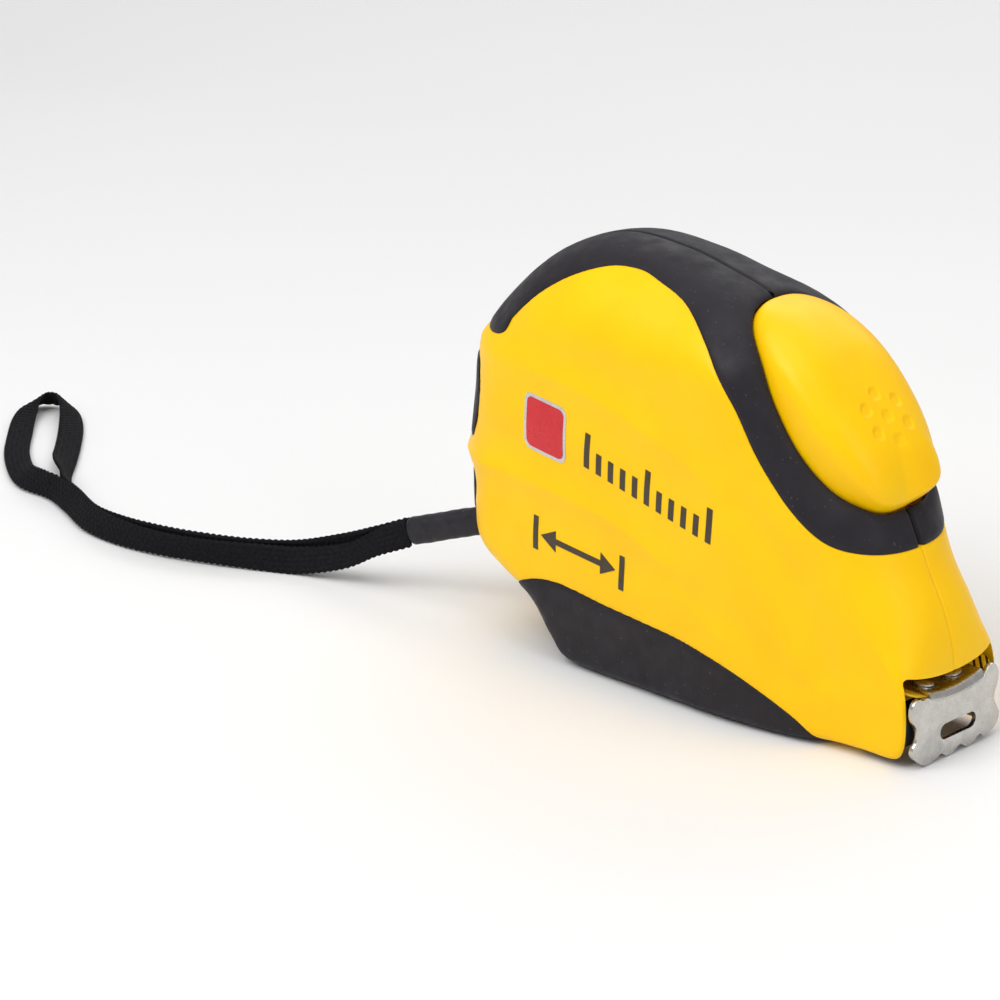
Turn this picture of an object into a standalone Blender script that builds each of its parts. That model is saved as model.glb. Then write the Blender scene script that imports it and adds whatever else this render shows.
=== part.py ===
"""Tape measure with a long nose, a thumb brake button, a belt clip and a wrist strap.

Frame: metres, origin at the middle of the flat base, +X toward the hook, +Z up.
-Y is the label side (right half), +Y carries the belt clip (left half).
The outlines below are driving dimensions in millimetres, in the side view (x, z).
"""
import math

import bmesh
import bpy
import numpy as np
from mathutils import Matrix, Vector

MM = 0.001

# Case envelope: a pillow whose side view is a smooth closed outline.
HALF_BODY = 21.5           # half thickness around the reel
HALF_NOSE = 14.8           # half thickness at the mouth
TAPER_START, TAPER_END = 6.0, 50.0
ROUND_X, ROUND_Z, ROUND_R = -23.5, 43.5, 41.5   # the round back of the case
FINGER_RIDGE = 1.2         # how far the two finger ridges stand out at the back
RIM_SHARE = 0.965          # half thickness reached where the rounded edge ends
SPINE = ((-24.0, 41.0), (36.0, 10.0))
OUTLINE_POINTS = 52
EDGE_STEPS = 4
RUBBER_PROUD = 0.2
RUBBER_DEPTH = 1.9
FIT = 0.1                  # clearance between fixed neighbours
SPLIT_GAP = 0.03           # half the gap at the centre seam

# Reel and blade
REEL_X, REEL_Z = -22.0, 41.5
ROOM_R, ROOM_HALF = 31.5, 15.4
COIL_R, COIL_INNER_R = 27.5, 18.2
HUB_R, HUB_BORE, HUB_HALF = 18.0, 16.0, 12.6
FLANGE_R, FLANGE_BORE, FLANGE_Y = 29.5, 4.6, (12.8, 13.8)
ARBOR_R, ARBOR_HALF = 4.0, 17.4
SPRING_TURNS, SPRING_START, SPRING_END, SPRING_THICK, SPRING_HALF = 4.0, 5.4, 15.4, 0.5, 11.0
BLADE_HALF, BLADE_THICK, BLADE_CUP = 12.5, 0.4, 2.5
BLADE_Z = 12.6             # top of the blade on its centre line, at the mouth
BLADE_END_X = 51.2
MOUTH_TOP, MOUTH_HALF, MOUTH_BACK = 17.4, 13.2, 40.0
CHANNEL_BACK, CHANNEL_LOW = -22.0, 8.5
BUMPER_LOW, BUMPER_TOP = 4.4, 10.8
GUIDE_X, GUIDE_Z, GUIDE_R, GUIDE_HALF = 36.0, 10.6, 1.5, 14.5    # pin that the blade slides over

# Hook
HOOK_X, HOOK_THICK = 51.6, 0.9
TONGUE_HALF, TONGUE_BACK = 8.0, 43.0
RIVET_X, RIVET_Y = 47.2, 4.2
HOOK_TRAVEL = 1.0
SLOT_Y, SLOT_Z, SLOT_HALF, SLOT_R = 0.3, 5.5, 5.3, 1.6      # the nail slot in the hook plate

# Button: an egg on the front slope, measured along the slope (t), across it and out of it (h)
SLOPE_TOP = Vector((5.0, 0.0, 79.4))
SLOPE_END = Vector((39.6, 0.0, 45.6))
BUTTON_PIVOT_T, BUTTON_PIVOT_H = 5.0, -3.2
BUTTON_DEPTH = 5.0
PIN_R, PIN_HALF = 1.5, 12.0
BUTTON_GAP = 0.45
BUTTON_HALF, BUTTON_SWELL = 14.2, 0.06
UPPER_FULLNESS, LOWER_FULLNESS = 0.8, 0.56     # a lower power gives a blunter end
BUTTON_MIDDLE = 20.0       # the crown's rings shrink toward this t
DIMPLE_T, DIMPLE_RING, DIMPLE_R, DIMPLE_DEEP = 32.4, 4.9, 1.25, 0.4
WELL_DEPTH, GRIP_WELL_DEPTH = 9.0, 12.0
# Brake: an arm under the button carries a shoe that meets the reel; outlines are side views (x, z).
ARM_OUTLINE, ARM_HALF = ((8.5, 71.5), (14.5, 66.5), (13.6, 53.0), (10.4, 51.0), (9.4, 53.0)), 4.0
BRAKE_SHOE = ((7.0, -4.0, 51.6), (9.2, 4.0, 57.2))
BRAKE_WAY = ((2.0, 70.0), (16.0, 64.0), (17.0, 50.0), (0.0, 44.0))
LEAF_OUTLINE = ((25.0, 35.0), (25.6, 35.0), (26.4, 40.0), (26.6, 45.0), (26.0, 45.1), (25.8, 40.0))
LEAF_HALF = 3.0

SCREW_SPOTS = ((-51.5, 57.8), (-50.5, 19.5), (12.0, 24.5), (34.0, 28.0))
SCREW_R, SCREW_HEAD_R = 1.5, 3.0
SCREW_INNER_Y = -9.0       # the screws reach this far into the right half
CLIP_X, CLIP_SCREW_Z, CLIP_HALF, CLIP_THICK = -20.0, 60.0, 7.0, 0.9
CLIP_SCREW_START = 17.3
# Middle line of the belt clip (y, z): flat under its screw, then hanging away from the case.
CLIP_LINE = (
    (21.9, 66.0), (21.9, 55.0), (23.2, 52.2), (26.2, 49.6), (27.2, 46.0),
    (27.0, 34.0), (26.4, 24.0), (27.0, 20.0),
    (28.6, 17.0),
)

# Wrist strap: a sleeve out of the back, two runs side by side, then an open loop
SLEEVE_START = (-59.6, -8.3, 19.7)
SLEEVE_END = (-78.0, -13.5, 13.5)
STRAP_RUN = [
    (-78.3, -13.6, 13.4), (-85.0, -15.6, 10.6), (-92.7, -17.6, 7.2),
    (-103.0, -21.5, 3.4), (-112.0, -27.0, 2.9),
    (-122.0, -32.0, 2.9), (-132.0, -35.2, 2.9), (-142.0, -36.8, 2.9),
    (-152.0, -35.6, 2.9), (-162.0, -31.0, 2.9),
    (-171.5, -28.2, 2.9),
]
STRAP_LOOP = [
    (-174.0, -30.6, 2.1), (-182.0, -28.4, 2.1), (-190.0, -23.4, 2.1),
    (-199.0, -16.6, 2.1), (-207.0, -9.0, 2.1),
    (-214.6, -1.4, 2.1), (-218.4, 3.8, 2.1), (-218.0, 8.0, 2.1), (-213.8, 9.2, 2.1), (-208.0, 6.6, 2.1),
    (-201.0, 0.8, 2.1), (-193.0, -7.0, 2.1), (-186.0, -14.0, 2.1), (-180.0, -19.8, 2.1), (-174.4, -24.6, 2.1),
]
RUN_RADIUS, LOOP_RADIUS, SLEEVE_RADIUS = 2.4, 1.8, 2.9
ANCHOR_X, ANCHOR_Z, ANCHOR_R = -54.5, 21.0, 1.2
ANCHOR_Y = (-15.0, -3.0)


# ---------------------------------------------------------------- helpers

def clear_scene():
    for old in list(bpy.data.objects):
        bpy.data.objects.remove(old, do_unlink=True)


def material(name, colour, roughness, metallic=0.0):
    made = bpy.data.materials.new(name)
    made.use_nodes = True
    shader = made.node_tree.nodes["Principled BSDF"]
    shader.inputs["Base Color"].default_value = (*colour, 1.0)
    shader.inputs["Roughness"].default_value = roughness
    shader.inputs["Metallic"].default_value = metallic
    made.diffuse_color = (*colour, 1.0)
    return made


def add_object(name, verts, faces, skin, sharp=30.0):
    """A mesh object from millimetre points; its faces are turned outward."""
    mesh = bpy.data.meshes.new(name)
    mesh.from_pydata([tuple(c * MM for c in v) for v in verts], [], faces)
    shape = bmesh.new()
    shape.from_mesh(mesh)
    bmesh.ops.remove_doubles(shape, verts=shape.verts, dist=1e-7)
    bmesh.ops.recalc_face_normals(shape, faces=shape.faces)
    shape.to_mesh(mesh)
    shape.free()
    made = bpy.data.objects.new(name, mesh)
    bpy.context.scene.collection.objects.link(made)
    if skin:
        mesh.materials.append(skin)
    mesh.shade_smooth()
    mesh.set_sharp_from_angle(angle=math.radians(sharp))
    return made


def stack(name, rings, skin):
    """Bridge equal rings of points into one closed body."""
    count = len(rings[0])
    verts = [p for ring in rings for p in ring]
    faces = []
    for level in range(len(rings) - 1):
        for i in range(count):
            j = (i + 1) % count
            low, high = level * count, (level + 1) * count
            faces.append((low + i, low + j, high + j, high + i))
    faces.append(tuple(range(count)))
    faces.append(tuple(range((len(rings) - 1) * count, len(rings) * count)))
    return add_object(name, verts, faces, skin)


def prism(name, outline, y_low, y_high, skin=None):
    """Extrude a side-view outline (x, z) across Y."""
    rings = [[(x, y, z) for x, z in outline] for y in (y_low, y_high)]
    return stack(name, rings, skin)


def box(name, low, high, skin=None):
    outline = ((low[0], low[2]), (high[0], low[2]), (high[0], high[2]), (low[0], high[2]))
    return prism(name, outline, low[1], high[1], skin)


def rod(name, start, end, radius, skin=None, sides=16, end_radius=None):
    """A cylinder or cone between two points."""
    start, end = Vector(start), Vector(end)
    turn = (end - start).to_track_quat("Z", "Y").to_matrix()
    rings = []
    for centre, size in ((start, radius), (end, radius if end_radius is None else end_radius)):
        ring = []
        for k in range(sides):
            angle = 2 * math.pi * k / sides
            spoke = Vector((math.cos(angle), math.sin(angle), 0)) * size
            ring.append(tuple(centre + turn @ spoke))
        rings.append(ring)
    return stack(name, rings, skin)


def turned(name, profile, centre, skin, sides=40):
    """Turn a closed (radius, y) profile about the Y axis through centre (x, z)."""
    count = len(profile)
    verts = []
    for k in range(sides):
        angle = 2 * math.pi * k / sides
        for radius, y in profile:
            verts.append((centre[0] + radius * math.cos(angle), y, centre[1] + radius * math.sin(angle)))
    faces = []
    for k in range(sides):
        here, there = k * count, ((k + 1) % sides) * count
        for i in range(count):
            j = (i + 1) % count
            faces.append((here + i, here + j, there + j, there + i))
    return add_object(name, verts, faces, skin)


def boolean(target, tool, operation, solver="EXACT"):
    tool.hide_render = True
    tool.display_type = "WIRE"
    change = target.modifiers.new(operation.lower() + "_" + tool.name, "BOOLEAN")
    change.operation = operation
    change.solver = solver
    change.object = tool
    return target


def cut(target, *tools):
    for tool in tools:
        boolean(target, tool, "DIFFERENCE")
    return target


def set_origin(made, point):
    """Move the object's origin to a millimetre point without moving its shape."""
    shift = Vector(point) * MM
    made.data.transform(Matrix.Translation(-shift))
    made.location = shift


# ---------------------------------------------------------------- case envelope

def on_round(angle, extra=0.0):
    turn = math.radians(angle)
    radius = ROUND_R + extra
    return ROUND_X + radius * math.cos(turn), ROUND_Z + radius * math.sin(turn)


def outline_controls():
    """Side outline as (x, z, edge rounding, edge fullness), going round from the base."""
    points = [
        (-29, -0.9, 6, 3.5), (-10, -0.9, 6, 4), (12, -0.9, 6, 4), (26, -0.7, 5, 4), (34, 0.3, 4, 4),
        (41, 0.4, 3.5, 4), (48.3, 0.5, 3, 4), (51.2, 3.4, 2.5, 4), (51.7, 10, 2.5, 4),
        (51.5, 17.5, 4, 3), (50.2, 23.5, 8, 2.6), (48, 29, 10, 2.4), (44.4, 35.5, 12, 2.3),
        (41.4, 42, 12, 2.3), (38, 48, 11, 2.4), (32.8, 52.2, 11, 2.5), (27, 58.5, 11, 2.5),
        (21, 66.5, 11, 2.5), (14.5, 74.3, 11, 2.4), (5.5, 79.6, 14, 2.2), (-5, 82.4, 18, 2.1),
    ]
    for angle, extra in ((80, 0), (100, 0), (120, 0), (140, 0), (157, FINGER_RIDGE), (171, -0.3),
                         (189, FINGER_RIDGE)):
        points.append((*on_round(angle, extra), 20, 2.1))
    points += [
        (-64.2, 31, 18, 2.1), (-62.2, 24, 15, 2.2), (-58, 16.4, 11, 2.4), (-49.5, 12, 9, 2.6),
        (-41.5, 8.6, 8, 2.8), (-36, 3.2, 7, 3),
    ]
    return np.array(points, float)


def smooth_loop(controls, count):
    """Catmull-Rom curve through the controls, read at equal lengths."""
    steps = 16
    curve = []
    total = len(controls)
    for i in range(total):
        a, b, c, d = (controls[(i + k) % total] for k in (-1, 0, 1, 2))
        for k in range(steps):
            t = k / steps
            curve.append(0.5 * (2 * b + (c - a) * t + (2 * a - 5 * b + 4 * c - d) * t * t
                                + (3 * b - a - 3 * c + d) * t ** 3))
    curve = np.array(curve)
    gaps = np.linalg.norm(np.roll(curve, -1, 0)[:, :2] - curve[:, :2], axis=1)
    length = np.concatenate(([0.0], np.cumsum(gaps)))
    closed = np.vstack((curve, curve[:1]))
    places = np.linspace(0.0, length[-1], count, endpoint=False)
    return np.stack([np.interp(places, length, closed[:, k]) for k in range(closed.shape[1])], axis=1)


def half_thickness(x):
    share = np.clip((x - TAPER_START) / (TAPER_END - TAPER_START), 0.0, 1.0)
    share = share * share * (3 - 2 * share)
    return HALF_BODY + (HALF_NOSE - HALF_BODY) * share


def side_rings(inset):
    """Rings from the centre plane out to the flat of one side, for an envelope shrunk by inset."""
    loop = smooth_loop(outline_controls(), OUTLINE_POINTS)
    along = np.roll(loop[:, :2], -1, 0) - np.roll(loop[:, :2], 1, 0)
    along /= np.linalg.norm(along, axis=1)[:, None]
    inward = np.stack([-along[:, 1], along[:, 0]], axis=1)
    rounding = np.maximum(loop[:, 2] - inset * 0.5, 1.0)
    rings = []
    for step in range(EDGE_STEPS + 1):
        out = math.sin(step / EDGE_STEPS * math.pi / 2)
        drop = 1 - (1 - out ** loop[:, 3]) ** (1 / loop[:, 3])
        flat = loop[:, :2] + inward * (inset + rounding * drop)[:, None]
        flat[:, 1] = np.maximum(flat[:, 1], inset)
        y = (half_thickness(flat[:, 0]) - inset) * out * RIM_SHARE
        rings.append(np.stack([flat[:, 0], y, flat[:, 1]], axis=1))
    rim = rings[-1]
    (x0, z0), (x1, z1) = SPINE
    spine_x = np.clip(rim[:, 0], x0, x1)
    spine_z = z0 + (spine_x - x0) / (x1 - x0) * (z1 - z0)
    for share in (0.4, 0.85):
        ring = rim.copy()
        ring[:, 0] += (spine_x - rim[:, 0]) * share
        ring[:, 2] += (spine_z - rim[:, 2]) * share
        dome = RIM_SHARE + (1 - RIM_SHARE) * (1 - (1 - share) ** 2)
        ring[:, 1] = (half_thickness(ring[:, 0]) - inset) * dome
        rings.append(ring)
    return rings


def envelope(name, inset, sides=(-1, 1), skin=None, seam=0.0):
    """The pillow body; with one side only it ends on a flat seam face near y = 0.

    Every envelope is split into triangles the same way, so that shrunk copies stay parallel.
    """
    rings = side_rings(inset)
    rings[0][:, 1] = seam
    count = OUTLINE_POINTS
    verts, faces = [], []
    for side in sides:
        start = len(verts)
        for ring in rings:
            verts += [tuple(p) for p in ring * (1, side, 1)]
        for level in range(len(rings) - 1):
            for i in range(count):
                j = (i + 1) % count
                near, far = start + level * count, start + (level + 1) * count
                faces += [(near + i, near + j, far + j), (near + i, far + j, far + i)]
        rim = start + (len(rings) - 1) * count
        verts.append(tuple(rings[-1].mean(axis=0) * (1, side, 1)))
        faces += [(rim + i, rim + (i + 1) % count, len(verts) - 1) for i in range(count)]
    if len(sides) == 1:
        faces.append(tuple(range(count)))
    return add_object(name, verts, faces, skin)


# ---------------------------------------------------------------- regions of the skin

# Side views (x, z) of the rubber pieces; the first runs along the lower edge of the top grip.
TOP_GRIP = [
    (-80.0, 60.6), (-51.8, 62.6), (-46.3, 67.6), (-40.1, 73.4), (-33.5, 77.9), (-26.4, 80.9), (-20.5, 81.6),
    (-14.5, 80.9), (-4.5, 78.0), (5.0, 72.6), (12.5, 64.2), (18.3, 54.8), (24.9, 46.6), (31.2, 41.6),
    (37.4, 39.4), (47.0, 38.6), (70.0, 38.6), (70.0, 100.0), (-80.0, 100.0),
]
UPPER_PAD = [
    (-80, 57.8), (-58.6, 57.2), (-55.8, 53.0), (-55.2, 47.8), (-56.8, 42.5), (-60.4, 38.9), (-80, 38.4),
]
LOWER_PAD = [(-80, 33.9), (-61.2, 33.4), (-57.6, 31.0), (-56.6, 27.6), (-58.2, 24.4), (-80, 24.0)]
FOOT = [
    (-49.5, 9.0), (-45.0, 12.6), (-39.2, 15.6), (-33.5, 17.0), (-27.0, 17.1), (-18.2, 16.2), (-8.5, 15.4),
    (1.8, 14.4), (11.3, 12.2), (19.5, 8.9), (27.6, 4.6), (32.5, 0.9), (33.5, -5.0), (-60.0, -5.0),
]


def shrink(outline, amount):
    """Move each corner of a clockwise or anticlockwise outline inward along its bisector."""
    count = len(outline)
    area = sum(outline[i][0] * outline[(i + 1) % count][1] - outline[(i + 1) % count][0] * outline[i][1]
               for i in range(count))
    turn = 1 if area > 0 else -1
    moved = []
    for i in range(count):
        here = Vector(outline[i])
        into = (here - Vector(outline[i - 1])).normalized()
        away = (Vector(outline[(i + 1) % count]) - here).normalized()
        normal = Vector((-(into.y + away.y), into.x + away.x)).normalized() * turn
        spread = amount / max(0.4, abs(normal.dot(Vector((-into.y, into.x)))))
        moved.append(tuple(here + normal * spread))
    return moved


def pad_region(name, outline, spread):
    return prism(name, shrink(outline, spread), -40, 40)


# ---------------------------------------------------------------- button frame

def slope_frame():
    along = (SLOPE_END - SLOPE_TOP).normalized()
    out = Vector((-along.z, 0.0, along.x))
    return along, out


def slope_point(t, y, h):
    along, out = slope_frame()
    return SLOPE_TOP + along * t + out * h + Vector((0.0, y, 0.0))


def egg_loop(count, grow=0.0):
    """Outline of the button on the slope: (t, y), wider toward its upper middle."""
    length = (SLOPE_END - SLOPE_TOP).length
    loop = []
    for k in range(count):
        angle = 2 * math.pi * (k + 0.5) / count
        t = length / 2 - (length / 2 - 0.9 + grow) * math.cos(angle)
        swell = 1 + BUTTON_SWELL * math.cos(angle)
        fullness = UPPER_FULLNESS if math.cos(angle) > 0 else LOWER_FULLNESS
        y = (BUTTON_HALF + grow) * swell * math.copysign(abs(math.sin(angle)) ** fullness, math.sin(angle))
        loop.append((t, y))
    return loop


def crown_height(t):
    """Height of the button's ridge line above the slope."""
    places = (0.0, 3.0, 8.0, 14.0, 20.0, 32.0, 40.0, 44.5, 48.4)
    return float(np.interp(t, places, (1.6, 4.0, 6.6, 8.2, 8.7, 8.1, 7.2, 6.0, 4.2)))


# ---------------------------------------------------------------- parts

def make_materials():
    return {
        "yellow": material("yellow_abs", (1.0, 0.62, 0.0), 0.42),
        "rubber": material("black_rubber", (0.03, 0.028, 0.032), 0.62),
        "steel": material("nickel_steel", (0.62, 0.61, 0.58), 0.3, 1.0),
        "blade": material("blade_paint", (0.9, 0.62, 0.05), 0.35, 0.2),
        "spring": material("spring_steel", (0.35, 0.36, 0.38), 0.35, 1.0),
        "reel": material("reel_plastic", (0.12, 0.12, 0.13), 0.5),
        "webbing": material("black_webbing", (0.02, 0.02, 0.024), 0.9),
        "sleeve": material("shrink_sleeve", (0.035, 0.033, 0.04), 0.5),
        "clip": material("clip_steel", (0.5, 0.5, 0.5), 0.35, 1.0),
    }


def pin_ends(x, z, reach):
    """The two ends of a pin that lies along Y."""
    return (x, reach[0], z), (x, reach[1], z)


def reel_rod(name, half, radius, skin=None, sides=20):
    """A cylinder on the reel's axis."""
    return rod(name, (REEL_X, -half, REEL_Z), (REEL_X, half, REEL_Z), radius, skin, sides)


def case_cutters():
    """Everything hollowed out of both case halves."""
    room = reel_rod("cut_reel_room", ROOM_HALF, ROOM_R, sides=40)
    channel = box("cut_channel", (CHANNEL_BACK, -MOUTH_HALF, CHANNEL_LOW), (45, MOUTH_HALF, MOUTH_TOP))
    mouth = box("cut_mouth", (MOUTH_BACK, -MOUTH_HALF, -3), (58, MOUTH_HALF, MOUTH_TOP))
    brake_way = prism("cut_brake_way", BRAKE_WAY, -7, 7)
    pin_bore = button_pin_rod("cut_button_pin", PIN_HALF + 0.2, PIN_R + FIT)
    guide_y = (-GUIDE_HALF - 0.1, GUIDE_HALF + 0.1)
    guide = rod("cut_guide_pin", *pin_ends(GUIDE_X, GUIDE_Z, guide_y), GUIDE_R + FIT, sides=12)
    arbor = reel_rod("cut_arbor", ARBOR_HALF + 0.2, ARBOR_R + FIT, sides=20)
    leaf = box("cut_leaf_seat", (24.0, -3.6, 34.0), (30.0, 3.6, 48.0))
    return [room, channel, mouth, brake_way, pin_bore, guide, arbor, leaf]


def skin_cutters():
    """Recesses in the case skin for the rubber pieces: each region less the inner envelope."""
    core = envelope("core_inner", RUBBER_DEPTH + FIT)
    regions = [
        pad_region("region_grip", TOP_GRIP, 0.0),
        pad_region("region_upper_pad", UPPER_PAD, 0.0),
        pad_region("region_lower_pad", LOWER_PAD, 0.0),
        pad_region("region_foot", FOOT, 0.0),
    ]
    return [cut(region, core) for region in regions]


def screw_holes(side):
    """Clearance holes and, on the left side, counterbores; x, z on SCREW_SPOTS."""
    tools = []
    for number, (x, z) in enumerate(SCREW_SPOTS):
        label = "{}_{}".format("left" if side > 0 else "right", number)
        shank = pin_ends(x, z, (SCREW_INNER_Y - 0.4, 30))
        tools.append(rod("cut_shank_" + label, *shank, SCREW_R + FIT, sides=12))
        if side > 0:
            seat = screw_seat(x)
            tools.append(rod("cut_head_" + label, (x, seat, z), (x, 30, z), SCREW_HEAD_R + 0.3, sides=20))
    return tools


def screw_seat(x):
    return float(half_thickness(x)) - 6.5


def button_pin_rod(name, reach, radius, skin=None):
    pivot = slope_point(BUTTON_PIVOT_T, 0, BUTTON_PIVOT_H)
    across = Vector((0, reach, 0))
    return rod(name, pivot - across, pivot + across, radius, skin)


def button_well(name, depth):
    rings = [[tuple(slope_point(t, y, h)) for t, y in egg_loop(28, BUTTON_GAP)] for h in (-depth, 14.0)]
    return stack(name, rings, None)


def make_case(skins):
    well = button_well("cut_button_well", WELL_DEPTH)
    hollow = case_cutters()
    recesses = skin_cutters()
    halves = []
    for side, name in ((-1, "case_half_right"), (1, "case_half_left")):
        half = envelope(name, RUBBER_PROUD, (side,), skins["yellow"], SPLIT_GAP)
        boolean(half, well, "DIFFERENCE", "MANIFOLD")    # EXACT loses the left half on this one cut
        cut(half, *recesses, *hollow, *screw_holes(side))
        halves.append(half)
    start, end = sleeve_ends()
    strap_hole = rod("cut_strap_hole", start + (start - end).normalized() * 4, end, 3.3, sides=16)
    bore_y = (ANCHOR_Y[0] - 0.2, ANCHOR_Y[1] + 0.2)
    anchor_bore = rod("cut_anchor", *pin_ends(ANCHOR_X, ANCHOR_Z, bore_y), ANCHOR_R + FIT, sides=12)
    cut(halves[0], strap_hole, anchor_bore)
    cut(halves[1], clip_rod("cut_clip_bore", CLIP_SCREW_START - 0.3, 30.0, SCREW_R + FIT, sides=12))


def make_grips(skins):
    region = pad_region("keep_grip", TOP_GRIP, FIT)
    inner = envelope("grip_inner", RUBBER_DEPTH)
    well = button_well("cut_grip_well", GRIP_WELL_DEPTH)
    for side, name in ((-1, "grip_top_right"), (1, "grip_top_left")):
        grip = envelope(name, 0.0, (side,), skins["rubber"], SPLIT_GAP)
        boolean(grip, region, "INTERSECT")
        cut(grip, inner, well, bpy.data.objects["cut_button_pin"])


def make_pads(skins):
    inner = bpy.data.objects["grip_inner"]
    hole = rod("cut_pad_strap", *(tuple(p) for p in sleeve_hole_ends()), 3.4, sides=16)
    for name, outline in (("rear_pad_upper", UPPER_PAD), ("rear_pad_lower", LOWER_PAD), ("base_foot", FOOT)):
        pad = envelope(name, 0.0, skin=skins["rubber"])
        boolean(pad, pad_region("keep_" + name, outline, FIT), "INTERSECT")
        cut(pad, inner)
        if name == "rear_pad_lower":
            cut(pad, hole)


def make_button(skins):
    egg = egg_loop(32)
    rings = []
    for height in (-BUTTON_DEPTH, 0.4):
        rings.append([tuple(slope_point(t, y, height)) for t, y in egg])
    for share, lift in ((0.975, 0.42), (0.9, 0.66), (0.76, 0.84), (0.55, 0.955), (0.28, 1.0)):
        ring = []
        for t, y in egg:
            near = BUTTON_MIDDLE + (t - BUTTON_MIDDLE) * share
            ring.append(tuple(slope_point(near, y * share, 0.4 + (crown_height(near) - 0.4) * lift)))
        rings.append(ring)
    button = stack("brake_button", rings, skins["yellow"])
    arm = prism("button_arm", ARM_OUTLINE, -ARM_HALF, ARM_HALF)
    boolean(button, arm, "UNION")
    pivot = slope_point(BUTTON_PIVOT_T, 0, BUTTON_PIVOT_H)
    bore = button_pin_rod("cut_button_bore", 20.0, PIN_R + FIT)
    for k in range(7):
        angle = math.radians(60 * k)
        reach = 0.0 if k == 6 else DIMPLE_RING
        t, y = DIMPLE_T + reach * math.cos(angle), reach * math.sin(angle)
        deep = slope_point(t, y, crown_height(t) - (y / 10) ** 2 - DIMPLE_DEEP)
        cut(button, rod("cut_dimple_%d" % k, deep, deep + slope_frame()[1] * 4, DIMPLE_R, sides=10))
    cut(button, bore)
    set_origin(button, pivot)
    button_pin_rod("button_pin", PIN_HALF, PIN_R, skins["steel"])
    shoe = box("brake_shoe", *BRAKE_SHOE, skins["rubber"])
    set_origin(shoe, pivot)
    prism("button_spring", LEAF_OUTLINE, -LEAF_HALF, LEAF_HALF, skins["spring"])


def blade_surface(x, y, drop):
    """Top of the front stretch: flat where it leaves the coil, cupped toward the mouth."""
    share = min(max((x + 14.0) / 24.0, 0.0), 1.0)
    cup = BLADE_CUP * share * share * (3 - 2 * share)
    return BLADE_Z + cup * (y / BLADE_HALF) ** 2 - drop


def make_blade(skins):
    rings = []
    stations = [-20.0, -14.0, -8.0, -2.0, 4.0, 10.0, 30.0, 48.4, BLADE_END_X]
    for x in stations:
        half = BLADE_HALF - (1.6 if x == BLADE_END_X else 0.0)
        across = [half * k / 5 for k in range(-5, 6)]
        top = [(x, y, blade_surface(x, y, 0.0)) for y in across]
        under = [(x, y, blade_surface(x, y, BLADE_THICK)) for y in reversed(across)]
        rings.append(top + under)
    blade = stack("blade_front", rings, skins["blade"])
    for side in (-1, 1):
        cut(blade, rivet_rod("cut_blade_rivet_%d" % (side + 1), side, 1.2 + FIT, -3, 3))
    low, high = -BLADE_HALF, BLADE_HALF
    ring = ((COIL_INNER_R, low), (COIL_R, low), (COIL_R, high), (COIL_INNER_R, high))
    coil = turned("blade_coil", ring, (REEL_X, REEL_Z), skins["blade"], 48)
    set_origin(coil, (REEL_X, 0, REEL_Z))


def make_reel(skins):
    centre = (REEL_X, REEL_Z)
    hub = ((HUB_BORE, -HUB_HALF), (HUB_R, -HUB_HALF), (HUB_R, HUB_HALF), (HUB_BORE, HUB_HALF))
    set_origin(turned("reel_hub", hub, centre, skins["reel"], 40), (REEL_X, 0, REEL_Z))
    for side, name in ((-1, "reel_flange_right"), (1, "reel_flange_left")):
        near, far = (side * y for y in FLANGE_Y)
        flange = ((FLANGE_BORE, near), (FLANGE_R, near), (FLANGE_R, far), (FLANGE_BORE, far))
        set_origin(turned(name, flange, centre, skins["reel"], 40), (REEL_X, 0, REEL_Z))
    make_power_spring(skins)
    reel_rod("centre_arbor", ARBOR_HALF, ARBOR_R, skins["steel"], 20)


def make_power_spring(skins):
    """Flat spiral strip, wound from just outside the arbor to the inside of the hub."""
    steps = int(SPRING_TURNS * 18)
    rings = []
    for k in range(steps + 1):
        angle = 2 * math.pi * SPRING_TURNS * k / steps
        middle = SPRING_START + (SPRING_END - SPRING_START) * k / steps
        near, far = middle - SPRING_THICK / 2, middle + SPRING_THICK / 2
        ring = []
        for radius, y in ((near, -SPRING_HALF), (far, -SPRING_HALF), (far, SPRING_HALF), (near, SPRING_HALF)):
            ring.append((REEL_X + radius * math.cos(angle), y, REEL_Z + radius * math.sin(angle)))
        rings.append(ring)
    set_origin(stack("power_spring", rings, skins["spring"]), (REEL_X, 0, REEL_Z))


def rivet_axis(side):
    slope = 2 * BLADE_CUP * side * RIVET_Y / BLADE_HALF ** 2
    out = Vector((0.0, -slope, 1.0)).normalized()
    foot = Vector((RIVET_X, side * RIVET_Y, blade_surface(RIVET_X, RIVET_Y, 0.0)))
    return foot, out


def rivet_rod(name, side, radius, low, high, skin=None, sides=14):
    foot, out = rivet_axis(side)
    return rod(name, foot + out * low, foot + out * high, radius, skin, sides)


def make_rivets(skins):
    for side, name in ((-1, "hook_rivet_right"), (1, "hook_rivet_left")):
        shank = rivet_rod(name, side, 1.2, -0.9, 1.5, skins["steel"])
        for label, low, high in (("top", 1.12, 1.7), ("under", -1.1, -0.62)):
            boolean(shank, rivet_rod("{}_{}".format(name, label), side, 2.2, low, high), "UNION")


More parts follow.
